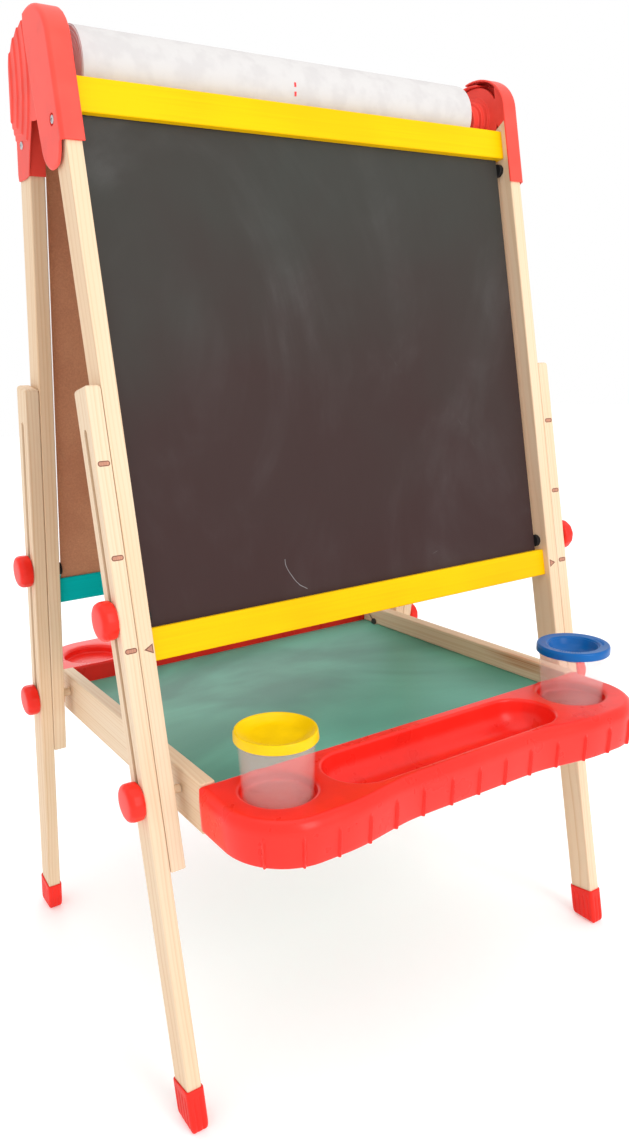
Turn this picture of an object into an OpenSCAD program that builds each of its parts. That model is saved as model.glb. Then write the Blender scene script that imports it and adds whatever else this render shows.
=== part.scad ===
// Kids easel: folding A-frame with two boards, sliding legs, a paper roll
// and a shelf with two moulded trays. Millimetres, +Z up, -Y is the chalkboard side,
// origin on the floor under the middle of the footprint.

/* [Frame] */
// Lean of each frame from the vertical, degrees
tilt = 10.1; // [8:0.1:11]
// Height of the point where the post faces start
frame_top = 973.3; // [970:0.1:977]
// Distance of that point in front of the middle plane
face_y = 47.5; // [47:0.1:48]
// Distance from the centre to the inner face of a post
post_in = 254; // [254:0.5:256]
// Width of a post and of a leg, seen from the front
stick_w = 15; // [14.5:0.1:15.5]
// Depth of a post and of a leg
stick_d = 28.4; // [28:0.1:29]
// Length along the frame at which a post ends
post_end = 741.7; // [735:0.1:745]

/* [Legs] */
// Length along the frame at which a leg starts
leg_top = 303.5; // [300:0.5:310]
// Distance from one height mark to the next
step = 82; // [80:0.5:83]
// Where the upper knob sits along the frame
knob_upper = 507; // [505:0.5:509]
// Where the lower knob sits along the frame
knob_lower = 672; // [670:0.5:674]
// Outer diameter of a knob
knob_d = 36; // [34:0.5:38]
// Where a foot cap starts along the frame
foot_top = 946.4; // [940:0.1:950]

/* [Boards] */
// Start of the top rail along the frame
top_rail_s = 42.8; // [42:0.1:44]
// Height of each painted rail
rail_h = 30; // [29:0.1:31]
// Start of the bottom rail along the frame
low_rail_s = 520.2; // [518:0.1:522]
// How far the rails sit behind the face of the posts
rail_recess = 7.3; // [7:0.1:7.6]
// Thickness of a painted rail
rail_t = 12.8; // [12.4:0.1:13]
// Thickness of each board
board_t = 3; // [2.6:0.1:3.4]

/* [Shelf] */
// Top of the wooden shelf rails
shelf_top = 329.5; // [328:0.5:331]
// Height of the wooden shelf rails
shelf_rail_h = 49.5; // [48:0.5:50]
// Outer face of the wooden shelf rails from the centre
shelf_out = 242.6; // [242:0.1:243]
// Top of the painted shelf board
shelf_board_top = 306; // [305:0.5:307]
// Top of the moulded trays
tray_top = 328; // [327:0.5:329]
// Height of the moulded trays
tray_h = 42; // [41:0.5:43]
// Half width of a tray
tray_half = 247; // [246:0.5:252.5]
// Depth of a tray at its lobes, from its inner wall to its outer wall
tray_d = 106; // [104:0.5:108]
// Inner wall of the front tray
front_tray_y = 193; // [192:0.5:194]
// Inner wall of the rear tray
rear_tray_y = 177; // [176:0.5:179]

/* [Roll and cups] */
// Height of the hinge line, which is the line of the paper roll too
hinge_z = 946; // [945:0.5:947]
// Radius of the paper roll
roll_r = 37.5; // [30:0.5:37.5]
// Length of the paper roll
roll_len = 457; // [400:1:458]
// Distance of a cup from the centre
cup_x = 188; // [186:0.5:190]
// Radius of a cup lid
lid_r = 37.2; // [36:0.1:37.5]

/* [Hidden] */
$fn = 64;
eps = 0.01;
gap = 0.3;
post_out = post_in + stick_w;
leg_in = post_out + gap;
leg_out = post_out + stick_w;
mid_u = stick_d / 2;
foot_len = 48;
travel = 2 * step;

bolt_r = 3;
insert_r = 4.5;
slot_w = 7;
fit = 0.05;

groove = 4;
tenon = 8;
board_u = 14.5;
board_half = 249;
pin_r = 7;
pin_inset = 11;
spigot_r = 2.5;
spigot_len = 1.8;

hinge_dy = face_y;
hinge_dz = hinge_z - frame_top;
hinge_u = hinge_dy * cos(tilt) - hinge_dz * sin(tilt);
hinge_w = hinge_dy * sin(tilt) + hinge_dz * cos(tilt);

over = 1; // how far a cutting shape runs past what it cuts
tenon_cheek = 2;
tenon_side = 4;

cap_skin = 2;
cap_in = 252;
cap_out = 273.4;
cap_wall = 1.8;
cap_a = hinge_u + cap_skin;
cap_b = 46;
rear_cap_r = 42;
rear_wall = 1.3;
rear_wall_in = post_out + 0.5;
rear_wall_out = rear_wall_in + rear_wall;
step_count = 4;
step_rise = 1.3;
step_pitch = 12;
step_r = 110;
step_edge = 6;
step_low = 80;
step_foot = 5;
plate_in = 256;
plate_t = 3;
plate_inset = 0.5;
plate_web_w = 15.5;
boss_in = 240;
boss_r = 19.5;
rod_r = 9.5;
roll_shift = -9;
core_reach = 1;
core_r = 11.5;
hinge_pin_r = 4;
wrap_t = 3;
wrap_rise = 12;
lip_drop = 5;
cap_screw_s = 79;
cap_screw_bite = 10;
cap_screw_r = 2;
cap_pad_r = 7;
screw_head_r = 3.6;
screw_head_h = 1.4;
screw_sink_r = 5;

shelf_rail_t = 15;
shelf_in = shelf_out - shelf_rail_t;
shelf_low = shelf_top - shelf_rail_h;
shelf_board_t = 4.5;
pivot_r = 3;
pivot_bite = 2;
pivot_head_r = 4.5;
pivot_head_t = 2.6;
pivot_collar_r = 5;
stud_r = 4;
stud_gap = 0.8;
wall = 3;
trough_half = 138;
trough_r = 34.5;
trough_y = 47;
trough_deep = 30;
well_y = 41;
well_r = 34;
well_deep = 10;
front_corner = 62;
back_corner = 6;
tray_dip = 11;

// The hinge line stands a little behind the middle of the footprint
hinge_y = (front_tray_y - rear_tray_y) / 2;

cup_y = -(front_tray_y + well_y);
cup_z = tray_top - well_deep;
cup_h = 63;
cup_base_r = 31;
cup_rim_r = 35.4;
cup_wall = 1.8;
lid_skirt = 6;
lid_t = 1.6;
lid_rim = 1;
lid_wall = 1.4;
yellow_dish = [31, 24, 4];
blue_dish = [28, 12, 15];

RED = "#ff3b2c";
PINE = "#f2dcb4";
YELLOW = "#ffd600";
TEAL = "#12a8a4";
STEEL = "#b9bcc0";
BRASS = "#c9a24a";
BLUE = "#0b5fb8";
BLACK = "#1c1c1e";

// ---- placing -------------------------------------------------------------

// Puts a frame shape in place: x across, y into the frame, z up along the post
module in_front() {
    translate([0, hinge_y - face_y, frame_top]) rotate([-tilt, 0, 0]) children();
}

module in_rear() {
    translate([0, 2 * hinge_y, 0]) mirror([0, 1, 0]) in_front() children();
}

// The shelf is drawn about the hinge line
module in_shelf() {
    translate([0, hinge_y, 0]) children();
}

// Right-hand shapes are drawn; the left ones are their mirror images
module on_side(side) {
    mirror([side < 0 ? 1 : 0, 0, 0]) children();
}

module on_both_sides() {
    for (side = [-1, 1]) on_side(side) children();
}

// Box between two corners
module block(low, high) {
    translate(low) cube(high - low);
}

// Extrudes an outline drawn in depth and height from one x to another
module slab(x0, x1) {
    translate([x0, 0, 0]) rotate([90, 0, 90]) linear_extrude(x1 - x0) children();
}

// Round bar along x
module bar(x0, x1, r) {
    translate([x0, 0, 0]) rotate([0, 90, 0]) cylinder(r = r, h = x1 - x0);
}

// ---- posts and painted rails ---------------------------------------------

post_top_front = 32;
post_top_back = 44;

module post() {
    color(PINE) difference() {
        slab(post_in, post_out) polygon([
            [0, -post_top_front], [0, -post_end],
            [stick_d, -post_end], [stick_d, -post_top_back]]);
        for (s = [top_rail_s, low_rail_s]) rail_tenon(s);
        for (s = [knob_upper, knob_lower])
            translate([0, mid_u, -s]) bar(post_in + 2, post_out + 1, insert_r + fit);
        translate([0, mid_u, -knob_lower]) bar(post_in - over, post_in + pivot_bite + eps, pivot_r + fit);
        for (s = [top_rail_s + rail_h + pin_inset, low_rail_s - pin_inset])
            translate([0, board_u + board_t / 2, -s])
                bar(post_in - over, post_in + spigot_len, spigot_r + fit);
        translate([0, mid_u, -cap_screw_s])
            bar(post_out - cap_screw_bite, post_out + over, cap_screw_r + fit);
    }
}

module rail_tenon(s) {
    block([post_in - over, rail_recess + tenon_cheek, -s - rail_h + tenon_side],
        [post_in + tenon, rail_recess + rail_t - tenon_cheek, -s - tenon_side]);
}

// Painted rail with a tenon at each end and a groove for the board
module painted_rail(s, groove_up) {
    edge = groove_up ? -s : -s - rail_h;
    difference() {
        union() {
            block([-post_in, rail_recess, -s - rail_h], [post_in, rail_recess + rail_t, -s]);
            on_both_sides() rail_tenon(s);
        }
        block([-board_half - 1, board_u, edge - groove],
            [board_half + 1, board_u + board_t, edge + groove]);
    }
}

module front_post_left() { in_front() on_side(-1) post(); }
module front_post_right() { in_front() on_side(1) post(); }
module rear_post_left() { in_rear() on_side(-1) post(); }
module rear_post_right() { in_rear() on_side(1) post(); }
module front_top_rail() { color(YELLOW) in_front() painted_rail(top_rail_s, false); }
module front_bottom_rail() { color(YELLOW) in_front() painted_rail(low_rail_s, true); }
module rear_top_rail() { color(TEAL) in_rear() painted_rail(top_rail_s, false); }
module rear_bottom_rail() { color(TEAL) in_rear() painted_rail(low_rail_s, true); }

// ---- boards --------------------------------------------------------------

module board() {
    block([-board_half, board_u, -low_rail_s - groove],
        [board_half, board_u + board_t, -top_rail_s - rail_h + groove]);
}

// Round spacers that centre the board between the posts
module board_pins() {
    on_both_sides() for (s = [top_rail_s + rail_h + pin_inset, low_rail_s - pin_inset])
        translate([0, board_u + board_t / 2, -s]) {
            bar(board_half, post_in, pin_r);
            bar(post_in - eps, post_in + spigot_len, spigot_r);
        }
}

module chalkboard() { color("#3b3d40") in_front() board(); }
module chalkboard_pins() { color(BLACK) in_front() board_pins(); }
module whiteboard() { color("#f4f4f2") in_rear() board(); }
module whiteboard_pins() { color(BLACK) in_rear() board_pins(); }

// ---- caps and hinge ------------------------------------------------------

// Point on the oval dome around the hinge line
function dome(a, grow) = [hinge_u + (cap_a + grow) * cos(a), hinge_w + (cap_b + grow) * sin(a)];

flap_s = 101;
tongue_s = 117;
dome_end = 96;

// Rear edge of the front cap's wall, from under the dome down to the tongue and round its tip
flap_back = [[42, 0], [41, -30], [45, -58], [49, -84], [48, -98], [42, -107], [33, -114],
    [22, -tongue_s], [12, -tongue_s + 1], [5, -flap_s - 9], [1, -flap_s]];

// Side view of the front cap: dome, straight flap and rounded tongue
module front_cap_outline(grow) {
    polygon(concat(
        [[-cap_skin - grow, -flap_s]],
        [for (a = [180:-6:dome_end]) dome(a, grow)],
        flap_back));
}

// Everything of the front cap between the band and its outer wall is open for the rear cap
module front_cap() {
    color(RED) difference() {
        union() {
            slab(cap_out - cap_wall, cap_out) front_cap_outline(0);
            slab(cap_in, cap_out) difference() {
                front_cap_outline(0);
                front_band_inner();
            }
            slab(plate_in, plate_in + plate_t) plate_outline();
            translate([0, hinge_u, hinge_w]) bar(boss_in, plate_in + eps, boss_r);
            translate([0, mid_u, -cap_screw_s]) bar(post_out, cap_out - over, cap_pad_r);
        }
        translate([0, hinge_u, hinge_w]) {
            bar(boss_in - over, plate_in, rod_r + fit);
            bar(plate_in - over, cap_out - over, hinge_pin_r + fit);
        }
        translate([0, mid_u, -cap_screw_s]) {
            bar(post_out - over, cap_out + over, cap_screw_r + fit);
            bar(cap_out - over, cap_out + over, screw_sink_r);
        }
    }
}

// Inside of the band: the dome less its skin, open towards the rear and the bottom
module front_band_inner() {
    polygon(concat(
        [[0, -2 * flap_s]],
        [for (a = [180:-6:0]) dome(a, -cap_skin)],
        [[2 * cap_a, -2 * flap_s]]));
}

// Just above the slanted top of the post
function over_post(u) = gap - post_top_front - (post_top_back - post_top_front) * u / stick_d;

// Plate that carries the socket of the roll rod, cut away over the post
module plate_outline() {
    intersection() {
        front_cap_outline(-plate_inset);
        union() {
            translate([hinge_u, hinge_w]) circle(rear_cap_r - cap_skin - 2 * gap);
            translate([-cap_skin, -post_top_back]) square([plate_web_w, 2 * post_top_back]);
        }
        polygon([[-cap_skin, over_post(-cap_skin)], [stick_d + over, over_post(stick_d + over)],
            [stick_d + over, -post_top_back - over], [2 * hinge_u, -post_top_back - over],
            [2 * hinge_u, cap_b], [-cap_skin, cap_b]]);
    }
}

rear_lip = 105;

// Rear edge of the rear cap's wall, from under the dome down to the lip
rear_back = [[hinge_u + 12, hinge_w - 20], [38, -66], [stick_d + wrap_t, -rear_lip + 8],
    [stick_d + wrap_t, -rear_lip], [4, -rear_lip - lip_drop], [0, -rear_lip - lip_drop]];

// Where the band of the rear cap stays; the rest is open for the front cap
rear_band_area = [[-9, -2 * flap_s], [-9, 60], [hinge_u + 22, 60], [hinge_u + 22, hinge_w + 20],
    [hinge_u - 18, hinge_w], [3, -40], [3, -2 * flap_s]];

// Side view of the rear cap: a rounder dome that turns under the front one
module rear_cap_outline() {
    union() {
        translate([hinge_u, hinge_w]) circle(rear_cap_r);
        polygon(concat(
            [[-cap_skin, -rear_lip]],
            [for (a = [180:-6:90]) [hinge_u + cap_a * cos(a), hinge_w + rear_cap_r * sin(a)]],
            rear_back));
    }
}

// Stepped arcs on the outer wall of the rear cap, higher towards the rear
module rear_cap_steps() {
    for (i = [1:step_count])
        slab(rear_wall_in, rear_wall_out + i * step_rise)
            intersection() {
                rear_cap_outline();
                translate([step_pitch * (step_count - i) + step_edge - step_r, hinge_w - step_edge * 2])
                    circle(step_r);
                translate([-cap_a, step_foot * i - step_low]) square(2 * cap_a);
            }
}

module rear_cap() {
    color(RED) difference() {
        union() {
            slab(rear_wall_in, rear_wall_out) rear_cap_outline();
            slab(cap_in, rear_wall_out) intersection() {
                difference() {
                    rear_cap_outline();
                    rear_cap_inner();
                }
                polygon(rear_band_area);
            }
            rear_cap_steps();
            block([post_in, stick_d + gap, -rear_lip],
                [rear_wall_out, stick_d + wrap_t, -cap_screw_s + wrap_rise]);
            translate([0, mid_u, -cap_screw_s]) bar(post_out, post_out + over, cap_pad_r);
        }
        translate([0, hinge_u, hinge_w]) bar(post_out, cap_out, hinge_pin_r + fit);
        translate([0, mid_u, -cap_screw_s]) bar(post_out - over, cap_out, cap_screw_r + fit);
    }
}

module rear_cap_inner() {
    union() {
        translate([hinge_u, hinge_w]) circle(rear_cap_r - cap_skin);
        polygon(concat([[0, -2 * flap_s]],
            [for (a = [180:-6:90])
                [hinge_u + (cap_a - cap_skin) * cos(a), hinge_w + (rear_cap_r - cap_skin) * sin(a)]],
            [[hinge_u, -2 * flap_s]]));
    }
}

module cap_screws(head_x) {
    on_both_sides() translate([0, mid_u, -cap_screw_s]) {
        bar(post_out - cap_screw_bite, head_x + eps, cap_screw_r);
        bar(head_x, head_x + screw_head_h, screw_head_r);
    }
}

module front_cap_left() { in_front() on_side(-1) front_cap(); }
module front_cap_right() { in_front() on_side(1) front_cap(); }
module rear_cap_left() { in_rear() on_side(-1) rear_cap(); }
module rear_cap_right() { in_rear() on_side(1) rear_cap(); }
module front_cap_screws() { color(STEEL) in_front() cap_screws(cap_out - 1); }
module rear_cap_screws() { color(STEEL) in_rear() cap_screws(rear_wall_out); }

module hinge_pins() {
    color(STEEL) in_front() on_both_sides() translate([0, hinge_u, hinge_w])
        bar(plate_in, cap_out - 1, hinge_pin_r);
}

module roll_rod() {
    color(PINE) in_front() translate([0, hinge_u, hinge_w]) bar(-plate_in, plate_in, rod_r);
}

module paper_roll() {
    color("#f3f1f4") in_front() translate([0, hinge_u, hinge_w]) difference() {
        bar(roll_shift - roll_len / 2, roll_shift + roll_len / 2, roll_r);
        bar(-roll_len, roll_len, core_r + fit);
    }
}

module roll_core() {
    color("#a98a66") in_front() translate([0, hinge_u, hinge_w]) difference() {
        bar(roll_shift - roll_len / 2 - core_reach, roll_shift + roll_len / 2 + core_reach, core_r);
        bar(-roll_len, roll_len, rod_r + gap);
    }
}

// ---- legs, feet and knobs ------------------------------------------------

module leg() {
    color(PINE) difference() {
        block([leg_in, 0, -foot_top - foot_len + 12], [leg_out, stick_d, -leg_top]);
        slab(leg_in - 1, leg_out + 1) {
            translate([mid_u - slot_w / 2, -knob_lower]) square([slot_w, knob_lower - knob_upper + travel]);
            for (s = [knob_lower, knob_upper - travel]) translate([mid_u, -s]) circle(slot_w / 2);
        }
    }
}

foot_wall = 1.8;
flute_r = 1.2;

// Moulded cap over the end of a leg, fluted on its faces
module foot() {
    color("#d9251d") difference() {
        block([leg_in - foot_wall, -foot_wall, -foot_top - foot_len],
            [leg_out + foot_wall, stick_d + foot_wall, -foot_top]);
        block([leg_in, 0, -foot_top - foot_len + 12], [leg_out, stick_d, -foot_top + 1]);
        for (u = [5, mid_u, stick_d - 5]) for (x = [leg_in - foot_wall, leg_out + foot_wall])
            translate([x, u, -foot_top - foot_len - 1]) cylinder(r = flute_r, h = foot_len - 8, $fn = 24);
        for (x = [leg_in + 4, leg_out - 4]) for (u = [-foot_wall, stick_d + foot_wall])
            translate([x, u, -foot_top - foot_len - 1]) cylinder(r = flute_r, h = foot_len - 8, $fn = 24);
    }
}

// Keeps only what is above the floor
module above_floor() {
    difference() {
        children();
        block([-400, -400, -100], [400, 400, 0]);
    }
}

module leg_front_left() { in_front() on_side(-1) leg(); }
module leg_front_right() { in_front() on_side(1) leg(); }
module leg_rear_left() { in_rear() on_side(-1) leg(); }
module leg_rear_right() { in_rear() on_side(1) leg(); }
module foot_front_left() { above_floor() in_front() on_side(-1) foot(); }
module foot_front_right() { above_floor() in_front() on_side(1) foot(); }
module foot_rear_left() { above_floor() in_rear() on_side(-1) foot(); }
module foot_rear_right() { above_floor() in_rear() on_side(1) foot(); }

knob_in = leg_out + gap;
knob_t = 15;

// Round knob with a stepped face and a bore for its bolt
module knob(s) {
    color(RED) translate([0, mid_u, -s]) difference() {
        union() {
            bar(knob_in, knob_in + knob_t - 4, knob_d / 2);
            bar(knob_in, knob_in + knob_t - 1.5, knob_d / 2 - 2);
            bar(knob_in, knob_in + knob_t, knob_d / 2 - 5);
        }
        bar(knob_in - 1, knob_in + 10, bolt_r + fit);
    }
}

module bolt(s) {
    color(STEEL) translate([0, mid_u, -s]) bar(post_in + 3, knob_in + 10, bolt_r);
}

module thread_inserts() {
    color(BRASS) on_both_sides() for (s = [knob_upper, knob_lower]) translate([0, mid_u, -s])
        difference() {
            bar(post_in + 2, post_out, insert_r);
            bar(post_in + 2 - eps, post_out + 1, bolt_r + fit);
        }
}

module knob_front_left_upper() { in_front() on_side(-1) knob(knob_upper); }
module knob_front_left_lower() { in_front() on_side(-1) knob(knob_lower); }
module knob_front_right_upper() { in_front() on_side(1) knob(knob_upper); }
module knob_front_right_lower() { in_front() on_side(1) knob(knob_lower); }
module knob_rear_left_upper() { in_rear() on_side(-1) knob(knob_upper); }
module knob_rear_left_lower() { in_rear() on_side(-1) knob(knob_lower); }
module knob_rear_right_upper() { in_rear() on_side(1) knob(knob_upper); }
module knob_rear_right_lower() { in_rear() on_side(1) knob(knob_lower); }
module bolt_front_left_upper() { in_front() on_side(-1) bolt(knob_upper); }
module bolt_front_left_lower() { in_front() on_side(-1) bolt(knob_lower); }
module bolt_front_right_upper() { in_front() on_side(1) bolt(knob_upper); }
module bolt_front_right_lower() { in_front() on_side(1) bolt(knob_lower); }
module bolt_rear_left_upper() { in_rear() on_side(-1) bolt(knob_upper); }
module bolt_rear_left_lower() { in_rear() on_side(-1) bolt(knob_lower); }
module bolt_rear_right_upper() { in_rear() on_side(1) bolt(knob_upper); }
module bolt_rear_right_lower() { in_rear() on_side(1) bolt(knob_lower); }
module front_thread_inserts() { in_front() thread_inserts(); }
module rear_thread_inserts() { in_rear() thread_inserts(); }

// ---- shelf ---------------------------------------------------------------

// Wooden stud on a front post that carries the shelf; it stops short of the shelf rail
module front_shelf_studs() {
    color(PINE) in_front() on_both_sides() translate([0, mid_u, -knob_lower]) {
        bar(shelf_out + stud_gap, post_in, stud_r);
        bar(post_in - eps, post_in + pivot_bite, pivot_r);
    }
}

// Shoulder bolts through the shelf rails into the rear posts
module shelf_pivot_bolts() {
    color("#4a4745") in_rear() on_both_sides() translate([0, mid_u, -knob_lower]) {
        bar(shelf_in - pivot_head_t, shelf_in - gap, pivot_head_r);
        bar(shelf_in - gap - eps, post_in + pivot_bite, pivot_r);
        bar(shelf_out + gap, post_in, pivot_collar_r);
    }
}

// Where the rear pivot is in the shelf's own coordinates
rear_pivot = [
    face_y + knob_lower * sin(tilt) - mid_u * cos(tilt),
    frame_top - knob_lower * cos(tilt) - mid_u * sin(tilt)];

module shelf_rail() {
    color(PINE) difference() {
        block([shelf_in, -front_tray_y, shelf_low], [shelf_out, rear_tray_y, shelf_top]);
        block([shelf_in - 1, -front_tray_y - 1, shelf_board_top - shelf_board_t],
            [shelf_in + groove, rear_tray_y + 1, shelf_board_top]);
        translate([0, rear_pivot[0], rear_pivot[1]]) bar(shelf_in - over, shelf_out + over, pivot_r + fit);
        for (end = [-front_tray_y, rear_tray_y]) for (z = tray_screw_z) tray_screw_hole(end, z);
    }
}

tray_screw_z = [shelf_low + 11, shelf_low + 36];
tray_screw_x = shelf_out - shelf_rail_t / 2;
tray_screw_r = 1.8;
tray_screw_len = 26;
tray_pad_d = 6;
tray_pad_w = 16;

module tray_screw_hole(end, z) {
    translate([tray_screw_x, end, z]) rotate([90, 0, 0])
        cylinder(r = tray_screw_r + fit, h = 40, center = true);
}

module shelf_rail_left() { in_shelf() on_side(-1) shelf_rail(); }
module shelf_rail_right() { in_shelf() on_side(1) shelf_rail(); }

// Board in the grooves of the shelf rails, notched round the heads of the pivot bolts
module shelf_board() {
    notch = pivot_head_r + over;
    color("#5f9b87") in_shelf() difference() {
        block([-shelf_in - groove, -front_tray_y, shelf_board_top - shelf_board_t],
            [shelf_in + groove, rear_tray_y, shelf_board_top]);
        on_both_sides() block(
            [shelf_in - pivot_head_t - over, rear_pivot[0] - notch, shelf_low],
            [shelf_in + groove + over, rear_pivot[0] + notch, shelf_top]);
    }
}

// Points of an arc
function arc(x, y, r, from, to, count) =
    [for (i = [0:count]) let (a = from + (to - from) * i / count) [x + r * cos(a), y + r * sin(a)]];

// How far the outer wall is drawn in between the lobes
function dip(x) = let (t = max(0, min(1, (abs(x) - 70) / 90))) tray_dip * (1 - t * t * (3 - 2 * t));

// Plan of a tray: inner wall on y = 0, lobed outer wall; inset moves every wall inwards
module tray_plan(inset) {
    side_x = tray_half - front_corner;
    back_x = tray_half - back_corner;
    front_y = front_corner - tray_d;
    polygon(concat(
        arc(-back_x, -back_corner, back_corner - inset, 90, 180, 5),
        arc(-side_x, front_y, front_corner - inset, 180, 270, 12),
        [for (i = [1:31]) let (x = side_x * (i / 16 - 1)) [x, dip(x) + inset - tray_d]],
        arc(side_x, front_y, front_corner - inset, 270, 360, 12),
        arc(back_x, -back_corner, back_corner - inset, 0, 90, 5)));
}

module trough_plan(grow) {
    union() {
        translate([-trough_half + trough_r, -trough_y - trough_r - grow])
            square([2 * (trough_half - trough_r), 2 * (trough_r + grow)]);
        for (side = [-1, 1]) translate([side * (trough_half - trough_r), -trough_y])
            circle(trough_r + grow);
    }
}

// Moulded tray: a skirted shell with one long trough and two round cup wells
module tray() {
    color(RED) difference() {
        union() {
            difference() {
                linear_extrude(tray_h) tray_plan(0);
                translate([0, 0, -1]) linear_extrude(tray_h - wall + 1) tray_plan(wall);
            }
            translate([0, 0, tray_h - trough_deep - wall]) linear_extrude(trough_deep + wall)
                intersection() {
                    trough_plan(wall);
                    tray_plan(0);
                }
            on_both_sides() translate([cup_x, -well_y, tray_h - well_deep - wall])
                cylinder(r = well_r + wall, h = well_deep + wall);
            on_both_sides() block([tray_screw_x - tray_pad_w / 2, -tray_pad_d, 0],
                [tray_screw_x + tray_pad_w / 2, 0, tray_h - 2]);
        }
        translate([0, 0, tray_h - trough_deep]) linear_extrude(trough_deep + 1) trough_plan(0);
        on_both_sides() translate([cup_x, -well_y, tray_h - well_deep])
            cylinder(r = well_r, h = well_deep + 1);
        on_both_sides() for (z = tray_screw_z)
            translate([tray_screw_x, 0, z - tray_top + tray_h]) rotate([90, 0, 0])
                cylinder(r = tray_screw_r + fit, h = 40, center = true);
    }
}

module front_tray() { in_shelf() translate([0, -front_tray_y, tray_top - tray_h]) tray(); }
module rear_tray() {
    in_shelf() mirror([0, 1, 0]) translate([0, -rear_tray_y, tray_top - tray_h]) tray();
}

module tray_screws() {
    color(STEEL) in_shelf() on_both_sides() for (end = [-1, 1]) for (z = tray_screw_z)
        mirror([0, end > 0 ? 1 : 0, 0])
            translate([tray_screw_x, -(end > 0 ? rear_tray_y : front_tray_y), z]) rotate([90, 0, 0]) {
                translate([0, 0, tray_pad_d - tray_screw_len])
                    cylinder(r = tray_screw_r, h = tray_screw_len + eps);
                translate([0, 0, tray_pad_d]) cylinder(r = screw_head_r, h = screw_head_h);
            }
}

// ---- cups and lids -------------------------------------------------------

// Slightly tapered cup with a rolled rim
module cup() {
    color("#f0e6e4") rotate_extrude() polygon([
        [0, 0], [cup_base_r, 0], [cup_rim_r - 1, cup_h - 3], [cup_rim_r, cup_h - 2],
        [cup_rim_r, cup_h], [cup_rim_r - cup_wall - 1, cup_h],
        [cup_base_r - cup_wall, cup_wall], [0, cup_wall]]);
}

// Lid with a skirt; the dish is pressed down in the middle
module lid(shade, dish_r, dish_low_r, dish_deep) {
    top = cup_h + lid_t;
    skirt_z = cup_h - lid_skirt;
    under_z = top - dish_deep - lid_wall;
    color(shade) rotate_extrude() polygon([
        [0, under_z], [dish_low_r, under_z], [dish_r, cup_h + gap],
        [cup_rim_r + gap, cup_h + gap], [cup_rim_r + gap, skirt_z], [lid_r, skirt_z],
        [lid_r, cup_h], [lid_r - 1, top + lid_rim], [lid_r - 3, top + lid_rim],
        [dish_r + lid_wall, top], [dish_low_r, top - dish_deep], [0, top - dish_deep]]);
}

module at_cup(side) { in_shelf() translate([side * cup_x, cup_y, cup_z]) children(); }

module cup_left() { at_cup(-1) cup(); }
module cup_right() { at_cup(1) cup(); }
module lid_left() { at_cup(-1) lid(YELLOW, yellow_dish[0], yellow_dish[1], yellow_dish[2]); }
module lid_right() { at_cup(1) lid(BLUE, blue_dish[0], blue_dish[1], blue_dish[2]); }

// ---- output --------------------------------------------------------------

front_post_left();
front_post_right();
front_top_rail();
front_bottom_rail();
chalkboard();
chalkboard_pins();
front_cap_left();
front_cap_right();
front_cap_screws();
hinge_pins();
front_thread_inserts();
front_shelf_studs();
roll_rod();
rear_post_left();
rear_post_right();
rear_top_rail();
rear_bottom_rail();
whiteboard();
whiteboard_pins();
rear_cap_left();
rear_cap_right();
rear_cap_screws();
rear_thread_inserts();
shelf_pivot_bolts();
shelf_rail_left();
shelf_rail_right();
shelf_board();
front_tray();
rear_tray();
tray_screws();
leg_front_left();
leg_front_right();
leg_rear_left();
leg_rear_right();
foot_front_left();
foot_front_right();
foot_rear_left();
foot_rear_right();
knob_front_left_upper();
knob_front_left_lower();
knob_front_right_upper();
knob_front_right_lower();
knob_rear_left_upper();
knob_rear_left_lower();
knob_rear_right_upper();
knob_rear_right_lower();
bolt_front_left_upper();
bolt_front_left_lower();
bolt_front_right_upper();
bolt_front_right_lower();
bolt_rear_left_upper();
bolt_rear_left_lower();
bolt_rear_right_upper();
bolt_rear_right_lower();
paper_roll();
roll_core();
cup_left();
cup_right();
lid_left();
lid_right();
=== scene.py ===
"""Looks of a kids easel.

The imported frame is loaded, its plain solids are replaced by finished pieces of pine, paint, board,
moulded plastic, paper and steel, and the hardware that hardly shows keeps its own shape.
Shapes are drawn in millimetres and placed in metres.
"""

import logging
import math
from collections.abc import Callable, Sequence
from dataclasses import dataclass, field
from enum import Enum
from itertools import product

import bmesh
import bpy
from mathutils import Matrix, Vector
from mathutils.geometry import tessellate_polygon


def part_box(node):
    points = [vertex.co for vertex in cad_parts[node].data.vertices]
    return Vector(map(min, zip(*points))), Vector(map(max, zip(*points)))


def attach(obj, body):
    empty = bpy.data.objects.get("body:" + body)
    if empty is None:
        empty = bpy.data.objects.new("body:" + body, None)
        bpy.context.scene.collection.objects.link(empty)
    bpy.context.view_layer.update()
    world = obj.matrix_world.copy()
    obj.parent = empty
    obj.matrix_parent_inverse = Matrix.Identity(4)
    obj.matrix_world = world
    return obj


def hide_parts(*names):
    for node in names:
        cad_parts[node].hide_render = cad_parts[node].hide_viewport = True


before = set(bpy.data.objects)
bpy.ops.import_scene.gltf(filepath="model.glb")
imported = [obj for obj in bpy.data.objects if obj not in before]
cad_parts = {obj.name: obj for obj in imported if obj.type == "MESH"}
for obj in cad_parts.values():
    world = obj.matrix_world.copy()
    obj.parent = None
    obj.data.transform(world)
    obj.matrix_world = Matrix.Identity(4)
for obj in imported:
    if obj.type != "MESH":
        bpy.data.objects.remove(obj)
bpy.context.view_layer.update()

log = logging.getLogger("easel")

MM = 0.001
Flat = tuple[float, float]
Colour = tuple[float, float, float, float]
Edge = bmesh.types.BMEdge
Node = bpy.types.Node
Socket = bpy.types.NodeSocket


# Places


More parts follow.
